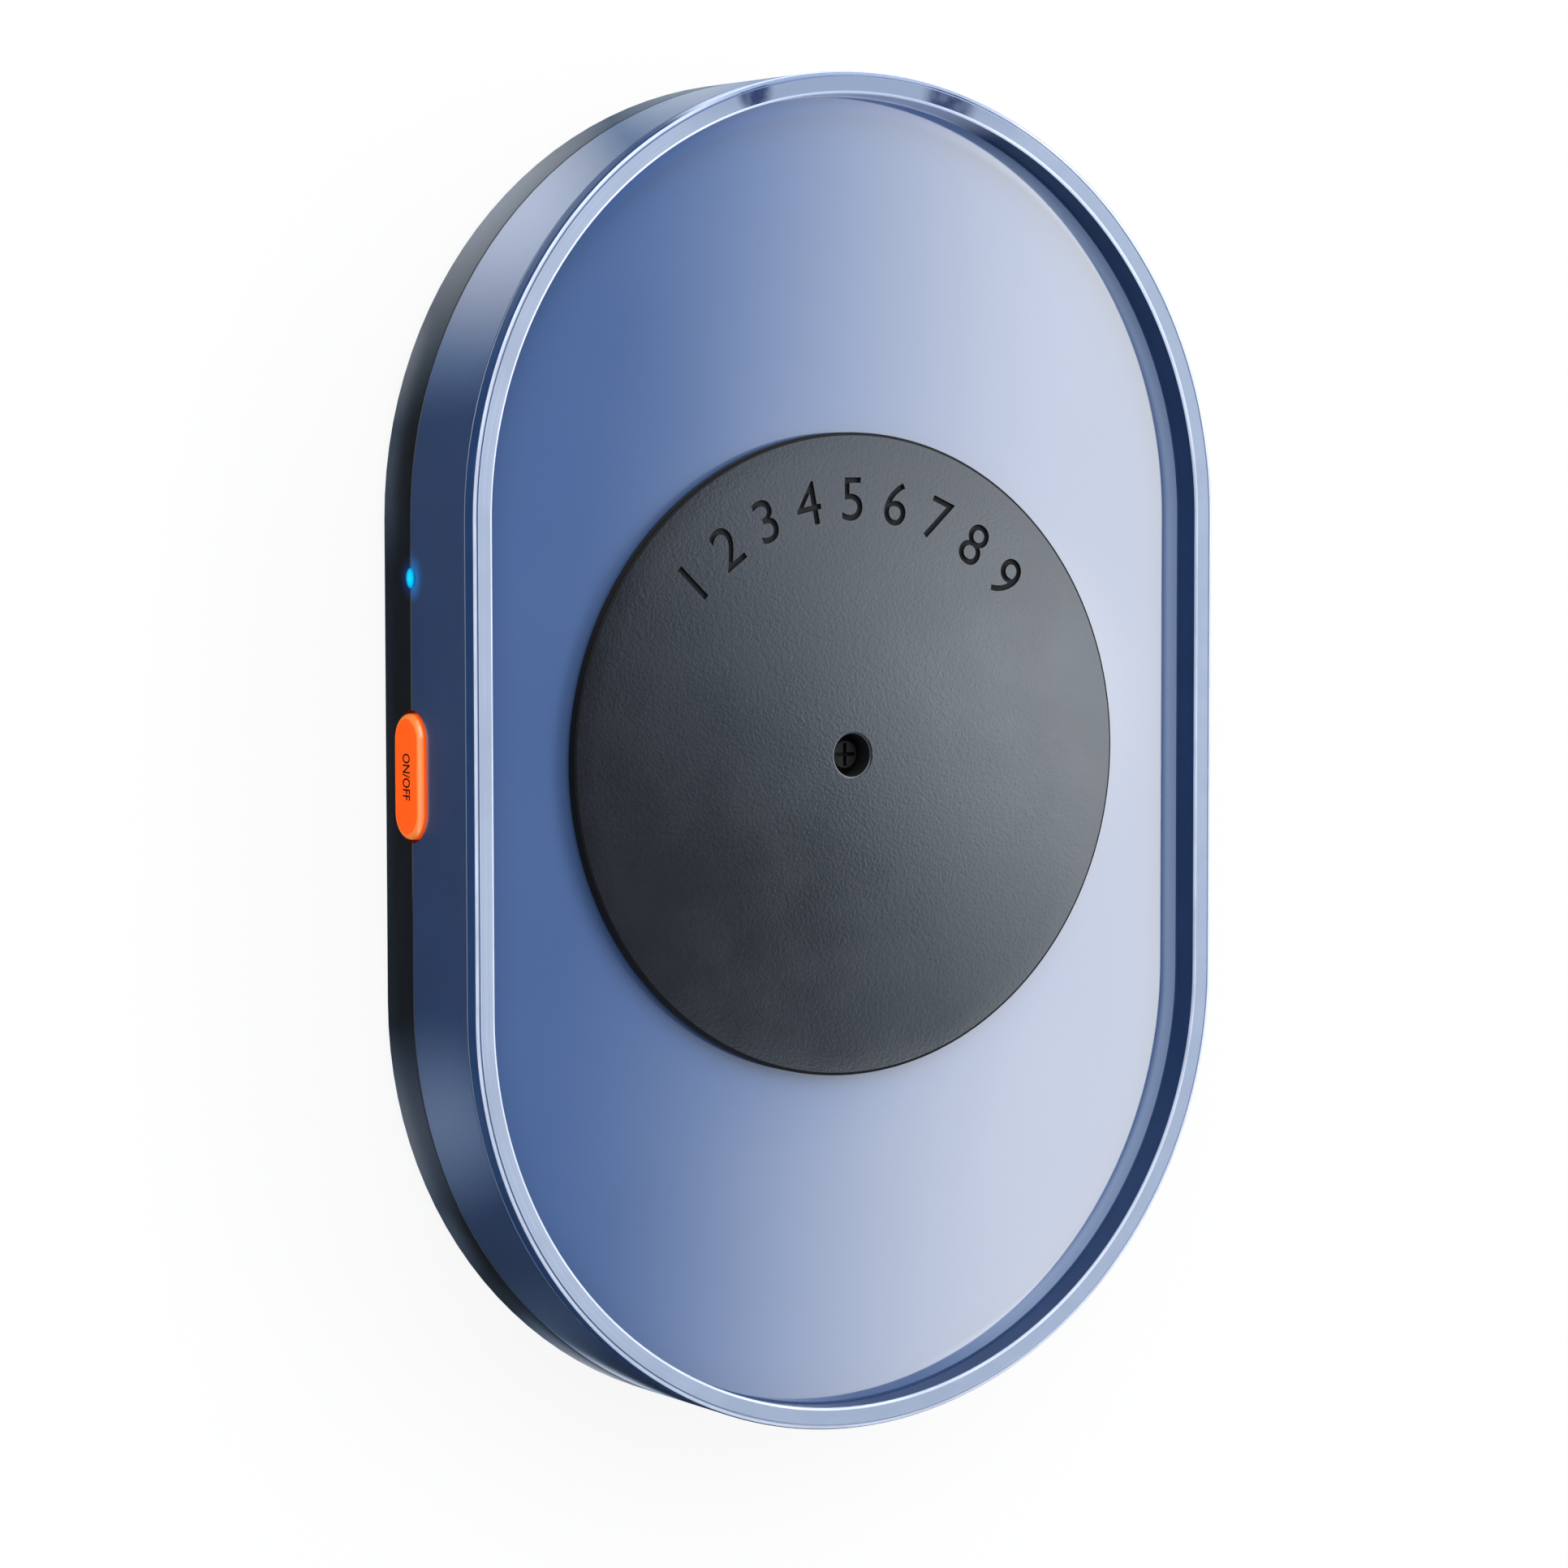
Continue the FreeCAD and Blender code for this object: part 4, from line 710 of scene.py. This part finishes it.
def tray():
    """Glossy tray: one shell whose raised rim is painted pale on top as a reflection, with a fine
    groove along it; its rim walls and floor corner carry painted shade.
    """
    lid = HALF_WIDTH - LID_INSET
    under = TRAY_FLOOR - TRAY_THICKNESS
    groove_outer = HALF_WIDTH - GROOVE_INSET
    groove_inner = groove_outer - GROOVE_WIDTH
    groove_floor = RIM_TOP - GROOVE_DEPTH
    bm = bmesh.new()
    sweep_round_body(bm, [
        (lid, under), (lid, RIM_BASE), (HALF_WIDTH, RIM_BASE), (HALF_WIDTH, RIM_TOP),
        (groove_outer, RIM_TOP), (groove_outer, groove_floor), (groove_inner, groove_floor),
        (groove_inner, RIM_TOP), (RIM_INSIDE, RIM_TOP), (RIM_INSIDE, TRAY_FLOOR)])
    top_ring = circle_at(bm, BUSH_SEAT, TRAY_FLOOR)
    low_ring = circle_at(bm, BUSH_SEAT, under - COLLAR_DROP)
    collar_low = circle_at(bm, COLLAR, under - COLLAR_DROP)
    collar_high = circle_at(bm, COLLAR, under)
    for rings in (top_ring + low_ring, low_ring + collar_low, collar_low + collar_high):
        bmesh.ops.bridge_loops(bm, edges=rings)
    fill_level(bm, TRAY_FLOOR)
    fill_level(bm, under)
    bmesh.ops.recalc_face_normals(bm, faces=bm.faces)
    for radius, height, amount in (
            (HALF_WIDTH, RIM_TOP, RIM_OUTER_ROUND), (RIM_INSIDE, RIM_TOP, RIM_INNER_ROUND),
            (RIM_INSIDE, TRAY_FLOOR, FLOOR_CORNER_ROUND), (HALF_WIDTH, RIM_BASE, LIP_BREAK)):
        round_off(bm, edges_where(bm, spine_radius, radius, height), amount, RIM_ROUNDING_STEPS)
    for face in bm.faces:
        face.material_index = tray_zone(face.calc_center_median())
    thing = link_object("glossy_tray", mesh_from(bm, "glossy_tray"),
                        MATERIALS["blue_gloss"], RIM_TOP_REFLECTION, RIM_EDGE_HIGHLIGHT, WALL_PAINTED_SHADE)
    finished_piece(thing, "blue_gloss", "case", "tray_cover", sharp_angle=SHELL_SHARP_ANGLE)


# ---------------------------------------------------------------- disc

DISC_EDGE_ROUND = 0.3 * MM
DISC_UNDER_ROUND = 0.1 * MM
# shares of the disc's radius at which its face has rings, for even facets
DISC_RINGS = (0.6, 0.92)
POCKET = 2.0 * MM
POCKET_DEPTH = 2.6 * MM
POCKET_ROUND = 0.28 * MM
HUB = 4.0 * MM
SHAFT = 1.5 * MM
SHAFT_TOP = 14.0 * MM
SCREW_HOLE = 1.2 * MM
DISC_THICKNESS = 1.1 * MM
DIAL_NUMBERS = "123456789"
DIAL_RADIUS = 22.5 * MM
DIAL_START, DIAL_STEP = 137.0, -11.75
DIAL_SIZE = 6.0 * MM
ENGRAVING_DEPTH = 0.3 * MM
LETTER_CURVE_STEPS = 6
# the disc's finishes, in the order of its materials
DISC_FACE, DISC_POCKET, DISC_RIM = range(3)


def lettering(text, size, depth, name, weight=0.0):
    """A mesh of solid letters, centred on x = 0; `weight` thickens their strokes."""
    curve = bpy.data.curves.new(name, "FONT")
    curve.body = text
    curve.size = size
    curve.align_x = "CENTER"
    curve.extrude = depth / 2
    curve.resolution_u = LETTER_CURVE_STEPS
    curve.offset = weight
    holder = link_object(name, curve)
    mesh = evaluated_mesh(holder)
    bpy.data.objects.remove(holder)
    bm = welded(mesh)
    bm.to_mesh(mesh)
    bm.free()
    mesh.materials.append(ENGRAVED_AND_POCKET_SHADE)
    return mesh


def dial_cutters():
    """Cutters for the numbers, set on an arc with their tops outwards."""
    cutters = []
    for index, number in enumerate(DIAL_NUMBERS):
        name = f"number_{number}"
        mesh = lettering(number, DIAL_SIZE, 2 * ENGRAVING_DEPTH, name)
        turn = math.radians(DIAL_START + index * DIAL_STEP - 90)
        mesh.transform(Matrix.Rotation(turn, 4, "Z")
                       @ Matrix.Translation((0, DIAL_RADIUS, disc_high.z)))
        cutters.append(link_object(name, mesh))
    return cutters


def disc():
    """Turning disc with a rounded edge, its hub, the screw pocket and engraved numbers."""
    top, radius = disc_high.z, disc_high.x
    under = top - DISC_THICKNESS
    pocket_floor = top - POCKET_DEPTH
    rings = [(radius * share, top) for share in DISC_RINGS]
    bm = bmesh.new()
    spin_about_axis(bm, [
        (POCKET, pocket_floor), (POCKET, top), *rings, (radius, top), (radius, under),
        (HUB, under), (HUB, disc_low.z), (SHAFT, disc_low.z), (SHAFT, SHAFT_TOP),
        (SCREW_HOLE, SHAFT_TOP), (SCREW_HOLE, pocket_floor)])
    bmesh.ops.recalc_face_normals(bm, faces=bm.faces)
    round_off(bm, edges_where(bm, axis_radius, radius, top), DISC_EDGE_ROUND)
    round_off(bm, edges_where(bm, axis_radius, POCKET, top), POCKET_ROUND)
    round_off(bm, edges_where(bm, axis_radius, radius, under), DISC_UNDER_ROUND,
              FINE_ROUNDING_STEPS)
    for face in bm.faces:
        centre = face.calc_center_median()
        # the screw pocket is lined with the engraved black as painted shade
        in_pocket = axis_radius(centre) < POCKET + MERGE and centre.z < top - POCKET_ROUND
        # the side and the edge round get the painted shade
        on_rim = axis_radius(centre) > radius - DISC_EDGE_ROUND and centre.z < top - MERGE
        face.material_index = DISC_POCKET if in_pocket else DISC_RIM if on_rim else DISC_FACE
    thing = link_object("graphite_disc", mesh_from(bm, "graphite_disc"),
                        MATERIALS["disc_graphite"], ENGRAVED_AND_POCKET_SHADE, DISC_SIDE_SHADE)
    carve(thing, dial_cutters())
    finished_piece(thing, "disc_graphite", "disc", "turntable")


# ---------------------------------------------------------------- button and status light

BUTTON_RADIUS = 2.55 * MM
BUTTON_REACH = 3.35 * MM
BUTTON_ROUND = 0.5 * MM
FLANGE_THICKNESS = 0.8 * MM
FLANGE_STEP = 0.8 * MM
BUTTON_STEPS = 24
BUTTON_LETTER_SIZE = 1.95 * MM
BUTTON_LETTER_NARROWING = 0.62
BUTTON_LETTER_DEPTH = 0.16 * MM
BUTTON_LETTER_WEIGHT = 0.03 * MM
# share of the letters' size from their foot to their middle
LETTER_MIDDLE = 0.33
# the button's finishes, in the order of its materials
KEY_FACE, KEY_ROUND = range(2)


def front_edges(bm, front):
    return [edge for edge in bm.edges
            if all(abs(vert.co.x - front) < MERGE for vert in edge.verts)]


def pill_prism(bm, radius, front, back):
    """A pill-ended block along X, from its front face to its back face."""
    centre = BUTTON_CENTRE
    section = [bm.verts.new((front, centre.y - BUTTON_REACH, centre.z + radius))]
    for side in (-1, 1):
        middle = (front, centre.y + side * BUTTON_REACH, centre.z)
        turn = bmesh.ops.spin(bm, geom=section, cent=middle, axis=(1, 0, 0), angle=math.pi,
                              steps=BUTTON_STEPS, use_merge=False)
        last = verts_of(turn["geom_last"])[0]
        across = bm.verts.new(last.co + Vector((0, -side * 2 * BUTTON_REACH, 0)))
        bm.edges.new((last, across))
        section = [across]
    bmesh.ops.remove_doubles(bm, verts=bm.verts, dist=MERGE)
    loop = [edge for edge in front_edges(bm, front) if not edge.link_faces]
    face = bmesh.ops.contextual_create(bm, geom=loop)["faces"][0]
    grown = bmesh.ops.extrude_face_region(bm, geom=[face])
    bmesh.ops.translate(bm, verts=verts_of(grown["geom"]), vec=(back - front, 0, 0))


def button():
    """Orange key with a well-rounded face edge, its flange and engraved ON/OFF."""
    front, back = button_low.x, button_high.x
    bm = bmesh.new()
    pill_prism(bm, BUTTON_RADIUS, front, back - FLANGE_THICKNESS / 2)
    bmesh.ops.recalc_face_normals(bm, faces=bm.faces)
    round_off(bm, front_edges(bm, front), BUTTON_ROUND, FINE_ROUNDING_STEPS)
    for face in bm.faces:
        depth = face.calc_center_median().x - front
        face.material_index = KEY_ROUND if MERGE < depth < BUTTON_ROUND else KEY_FACE
    key = link_object("orange_key", mesh_from(bm, "orange_key"),
                      MATERIALS["button_orange"], BUTTON_ROUND_HIGHLIGHT)
    letters = lettering("ON/OFF", BUTTON_LETTER_SIZE, BUTTON_LETTER_DEPTH, "key_letters",
                        BUTTON_LETTER_WEIGHT)
    letters.transform(Matrix.Scale(BUTTON_LETTER_NARROWING, 4, (1, 0, 0)))
    upright = (Matrix.Rotation(math.radians(-90), 4, "Z")
               @ Matrix.Rotation(math.radians(90), 4, "X"))
    place = Matrix.Translation((front, BUTTON_CENTRE.y, BUTTON_CENTRE.z))
    middle = Matrix.Translation((0, -LETTER_MIDDLE * BUTTON_LETTER_SIZE, 0))
    letters.transform(place @ upright @ middle)
    carve(key, [link_object("key_letters", letters)])
    finished_piece(key, "button_orange", "key", "power_button")

    bm = bmesh.new()
    pill_prism(bm, BUTTON_RADIUS + FLANGE_STEP, back - FLANGE_THICKNESS, back)
    flange = link_object("key_flange", mesh_from(bm, "key_flange"))
    finished_piece(flange, "button_orange", "key")


LENS_RADIUS = 0.95 * MM
LENS_DOME = 0.1 * MM
# points of the dome, as shares of the lens's radius and of the dome's height
LENS_CURVE = ((0.5, 0.8), (0.85, 0.35))
LENS_HEAD = 0.5 * MM
LENS_HEAD_LENGTH = 0.8 * MM
LENS_STEPS = 48


def light():
    """Clear light pipe with a softly domed end that stands just proud of the wall."""
    length = pipe_high.x - pipe_low.x
    head = length - LENS_HEAD_LENGTH
    dome = [(LENS_RADIUS * out, LENS_DOME * up) for out, up in LENS_CURVE]
    bm = bmesh.new()
    spin_about_axis(bm, [
        (0, LENS_DOME), *dome, (LENS_RADIUS, 0), (LENS_RADIUS, -head),
        (LENS_RADIUS + LENS_HEAD, -head), (LENS_RADIUS + LENS_HEAD, -length), (0, -length)],
        closed=False, steps=LENS_STEPS)
    bmesh.ops.transform(bm, verts=bm.verts, matrix=Matrix.Translation(LIGHT_FACE)
                        @ Matrix.Rotation(math.radians(-90), 4, "Y"))
    thing = link_object("light_lens", mesh_from(bm, "light_lens"))
    finished_piece(thing, "light_window", "case", "light_pipe")


# ---------------------------------------------------------------- screws

SCREW_STEPS = 40
SCREW_SHANK = 1.0 * MM
DISC_SCREW_HEAD = 1.2 * MM
CASE_SCREW_HEAD = 1.3 * MM
CASE_SCREW_RADIUS = 1.9 * MM
CASE_SCREW_PLACES = [(x * MM, y * MM) for x, y in
                     ((29, 43), (-29, 43), (34, -17), (-34, -17), (29, -43), (-29, -43))]
# shares of the head's radius or height, and of the shank's radius
HEAD_FLAT = 0.72
HEAD_SLOPE = 0.45
SHANK_TIP = 0.45
RECESS_REACH = 0.62
RECESS_WIDTH = 0.21
RECESS_DEPTH = 0.6 * MM


def cross_screw(name, finish, head_radius, head_height, shank_length, tip_up):
    """A pan-head screw with a cross recess, head's face at z = 0 and shank going up or down."""
    away = 1 if tip_up else -1
    tip = head_height + shank_length
    bm = bmesh.new()
    spin_about_axis(bm, [
        (0, 0), (head_radius * HEAD_FLAT, 0), (head_radius, away * head_height * HEAD_SLOPE),
        (head_radius, away * head_height), (SCREW_SHANK, away * head_height),
        (SCREW_SHANK, away * (tip - SCREW_SHANK)), (SCREW_SHANK * SHANK_TIP, away * tip),
        (0, away * tip)], closed=False, steps=SCREW_STEPS)
    screw = link_object(name, mesh_from(bm, name), finish)
    cutters = []
    reach = head_radius * RECESS_REACH
    size = Matrix.Diagonal((2 * reach, head_radius * RECESS_WIDTH, 2 * RECESS_DEPTH, 1))
    for turn in (0, 90):
        slot = bmesh.new()
        bmesh.ops.create_cube(slot, size=1.0,
                              matrix=Matrix.Rotation(math.radians(turn), 4, "Z") @ size)
        recess = f"recess_{turn}"
        cutters.append(link_object(recess, mesh_from(slot, recess), finish))
    carve(screw, cutters)
    return screw


def disc_screw():
    """Screw down in the disc's pocket, painted dark as its shade."""
    low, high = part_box("disc_screw")
    screw = cross_screw("disc_screw_in_shade", SCREW_POCKET_SHADE, high.x, DISC_SCREW_HEAD,
                        high.z - low.z - DISC_SCREW_HEAD, tip_up=False)
    screw.data.transform(Matrix.Translation((0, 0, high.z)))
    finished_piece(screw, "screw_steel", "disc", "disc_screw")


def case_screws():
    """The six screws that hold the base to the tray, heads down."""
    low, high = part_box("case_screws")
    model = cross_screw("case_screw", MATERIALS["screw_steel"], CASE_SCREW_RADIUS,
                        CASE_SCREW_HEAD, high.z - low.z - CASE_SCREW_HEAD, tip_up=True)
    bm = bmesh.new()
    for along_x, along_y in CASE_SCREW_PLACES:
        copy = model.data.copy()
        copy.transform(Matrix.Translation((along_x, along_y, low.z)))
        bm.from_mesh(copy)
        bpy.data.meshes.remove(copy)
    bpy.data.objects.remove(model)
    screws = link_object("cross_case_screws", mesh_from(bm, "cross_case_screws"),
                         MATERIALS["screw_steel"])
    finished_piece(screws, "screw_steel", "case", "case_screws")


# ---------------------------------------------------------------- camera

CAMERA_PLACE = (-249.051 * MM, 27.214 * MM, 392.292 * MM)
CAMERA_TURN = (-3.7516, -32.7272, -0.1064)
CAMERA_LENS = 107.956
CAMERA_SENSOR = 36.0
CAMERA_CLIP = (0.01, 20.0)


def camera():
    data = bpy.data.cameras.new("camera")
    data.lens = CAMERA_LENS
    data.sensor_width = CAMERA_SENSOR
    data.clip_start, data.clip_end = CAMERA_CLIP
    eye = link_object("camera", data)
    eye.location = CAMERA_PLACE
    eye.rotation_euler = [math.radians(angle) for angle in CAMERA_TURN]
    bpy.context.scene.camera = eye


# ---------------------------------------------------------------- floor and lights

WHITE = (1, 1, 1, 1)


def stage_plane(name, finish_name, reach, centre):
    """A square level plane, `reach` to each side, with the tool that fills its material."""
    bm = bmesh.new()
    bmesh.ops.create_grid(bm, x_segments=1, y_segments=1, size=reach,
                          matrix=Matrix.Translation(centre))
    material = bpy.data.materials.new(finish_name)
    material.use_nodes = True
    material.node_tree.nodes.clear()
    plane = link_object(name, mesh_from(bm, name), material)
    return plane, NodeTool(material.node_tree)


FLOOR_REACH = 6.0
FLOOR_SHADE = 0.1
PAPER_GRAIN = 0.25
PAPER_DARK = (0.90, 0.90, 0.90, 1)
PAPER_LIGHT = (0.92, 0.92, 0.92, 1)
# what the side walls mirror on the table: a painted shadow, dim round a place beside the button
TABLE_PAINTED_SHADOW = ((-60 * MM, 0, 0), 170 * MM)
TABLE_SHADOW_EDGE = (0.1, 0.5)
TABLE_AWAY = 0.9
TABLE_DIM = 0.018
# and painted reflections, soft bright patches: centre, reach and level
TABLE_PAINTED_REFLECTIONS = (
    ((-33.5 * MM, 56 * MM, 0), 27 * MM, 1.35),
    ((-8 * MM, 69 * MM, 0), 24 * MM, 0.72),
    ((-45.5 * MM, -37 * MM, 0), 15 * MM, 0.42),
    ((-27 * MM, -58 * MM, 0), 13 * MM, 0.08),
)
# its colour goes from cool where it is dim to a paler tint where it is bright
TABLE_COOL = (0.56, 0.84, 1.3, 1)
TABLE_TINT = (0.8, 0.9, 1.06, 1)
TABLE_TINT_EDGE = (0.1, 0.9)
# painted reflections on the table right beside the wall, brighter where the left side curves to
# either end
FOOT_START = HALF_WIDTH + 0.7 * MM
FOOT_END = HALF_WIDTH + 1.9 * MM
FOOT_LEVEL = 0.08
FOOT_PAINTED_REFLECTIONS = (
    ((-17 * MM, -60 * MM, 0), 16 * MM, 1.0),
    ((-35.5 * MM, -45 * MM, 0), 10 * MM, 0.3),
    ((-41 * MM, -36 * MM, 0), 14 * MM, 0.68),
    ((-39.5 * MM, 39 * MM, 0), 14 * MM, 0.9),
    ((-42.5 * MM, 28 * MM, 0), 14 * MM, 0.4),
)


def painted_table_reflections(tool):
    """Level of the table as the walls mirror it: a painted shadow round the body and painted
    reflections.
    """
    foot = tool.most(FOOT_LEVEL, *(tool.spot(*patch) for patch in FOOT_PAINTED_REFLECTIONS))
    beside = tool.ramp(tool.spine_distance(), FOOT_START, FOOT_END, 1.0, 0.0)
    shade = tool.ramp(tool.spot(*TABLE_PAINTED_SHADOW), *TABLE_SHADOW_EDGE, TABLE_AWAY, TABLE_DIM)
    patches = [tool.spot(*patch) for patch in TABLE_PAINTED_REFLECTIONS]
    return tool.most(shade, *patches, tool.product(beside, foot))


def floor():
    """Plain white floor.

    To the camera it is white paper with a light shadow; the walls mirror a table with a painted
    shadow round the body and soft bright patches as painted reflections.
    """
    _, tool = stage_plane("floor", "floor_white", FLOOR_REACH, (0, 0, 0))
    rays = tool.add("LightPath").outputs
    shade = tool.blend(tool.noise(PAPER_GRAIN, 2.0), PAPER_DARK, PAPER_LIGHT)
    paper = tool.add("BsdfDiffuse", Color=shade, Roughness=0.5)
    white = tool.add("Emission", Color=WHITE, Strength=1.0)
    seen = tool.most(rays["Is Camera Ray"], rays["Is Transmission Ray"])
    table = tool.add("MixShader", tool.product(seen, 1 - FLOOR_SHADE),
                     paper.outputs["BSDF"], white.outputs["Emission"])
    level = painted_table_reflections(tool)
    colour = tool.blend(tool.ramp(level, *TABLE_TINT_EDGE), TABLE_COOL, TABLE_TINT)
    # painted shadow and painted reflections, seen by glossy rays only
    mirrored = tool.add("Emission", Color=colour, Strength=level)
    both = tool.add("MixShader", rays["Is Glossy Ray"], table.outputs["Shader"],
                    mirrored.outputs["Emission"])
    tool.add("OutputMaterial", Surface=both.outputs["Shader"])


CEILING = 1.0
CARD_REACH = 1.9
CARD_CENTRE = (0.3, 0.2, CEILING)
CARD_COOL = (0.74, 0.83, 1.0, 1)
CARD_SLANT = 0.06
KEY_LEVEL = 3.45
# edges of the card's bright parts: first and last place, then the levels before and after,
# which are 0 and 1 where none are given
KEY_RISE = (0.54, 0.757, 0.0, KEY_LEVEL)
KEY_EDGE = (0.82, 1.0, 0.0, 1.8)
KEY_FALL = (1.3, 1.8, 1.0, 0.4)
KEY_NEAR_END = (-0.46, -0.31)
NORTH = (0.18, 0.4, 0.0, 2.4)
LEFT = (-0.3, -0.05, 0.55, 0.0)
SOUTH = (-0.6, -0.36, 0.55, 0.0)
# where the disc mirrors the card: a dim place and brighter ones, as centre, reach and amount
CARD_DIP = ((0.6268, -0.1118, CEILING), 0.1068, 0.99)
CARD_GLOWS = (((0.705, -0.056, CEILING), 0.08, 2.1), ((0.63, 0.0014, CEILING), 0.045, 1.0))
# a dim crescent at the near side of what the disc mirrors: its centre, the radii where it
# starts, is full, starts to fade and ends, its depth, and how it ends along Y
CRESCENT_CENTRE = (0.651, -0.071, CEILING)
CRESCENT_START, CRESCENT_FULL, CRESCENT_FADE, CRESCENT_END = 0.075, 0.095, 0.103, 0.111
CRESCENT_DEPTH = 0.92
CRESCENT_NEAR_SIDE = (-0.155, -0.12, 1.0, 0.0)


def crescent(tool):
    """The crescent's depth over the card, 0 outside it."""
    out = tool.distance_to(CRESCENT_CENTRE)
    return tool.product(tool.ramp(out, CRESCENT_START, CRESCENT_FULL, 0.0, CRESCENT_DEPTH),
                        tool.ramp(out, CRESCENT_FADE, CRESCENT_END, 1.0, 0.0),
                        tool.past("Y", *CRESCENT_NEAR_SIDE))


def ceiling():
    """Soft overhead light: one big card, bright towards +X and +Y and dim over the camera.

    Its tint goes from cool where it is dim to white where it is bright, at an even level of red.
    """
    card, tool = stage_plane("ceiling_light", "ceiling_light", CARD_REACH, CARD_CENTRE)
    card.visible_camera = False
    across = tool.maths("SUBTRACT", tool.along("X"), tool.product(tool.along("Y"), CARD_SLANT))
    key = tool.maths("ADD", tool.ramp(across, *KEY_RISE), tool.ramp(across, *KEY_EDGE))
    key = tool.product(key, tool.ramp(across, *KEY_FALL), tool.past("Y", *KEY_NEAR_END))
    key = tool.dimmed(key, tool.spot(*CARD_DIP))
    for glow in CARD_GLOWS:
        key = tool.maths("ADD", key, tool.spot(*glow))
    key = tool.dimmed(key, crescent(tool))
    level = tool.most(key, tool.past("Y", *NORTH), tool.past("X", *LEFT), tool.past("Y", *SOUTH))
    full = tool.ramp(level, 0.0, KEY_LEVEL)
    red = tool.maths("ADD", tool.product(full, 1 - CARD_COOL[0]), CARD_COOL[0])
    lamp = tool.add("Emission", Color=tool.blend(full, CARD_COOL, WHITE),
                    Strength=tool.maths("DIVIDE", level, red))
    tool.add("OutputMaterial", Surface=lamp.outputs["Emission"])


AMBIENT = 0.3


def world():
    """White behind everything, and a low even light on what is lit."""
    studio = bpy.data.worlds.new("studio")
    bpy.context.scene.world = studio
    studio.use_nodes = True
    tool = NodeTool(studio.node_tree)
    rays = tool.add("LightPath").outputs
    seen = tool.most(rays["Is Camera Ray"], rays["Is Glossy Ray"], rays["Is Transmission Ray"])
    tool.fill(tool.nodes["Background"], Color=WHITE,
              Strength=tool.ramp(seen, 0.0, 1.0, AMBIENT, 1.0))


dress_nodes()
housing_shells()
tray()
disc()
button()
light()
disc_screw()
case_screws()
camera()
floor()
ceiling()
world()

bpy.context.scene.view_settings.view_transform = "Standard"
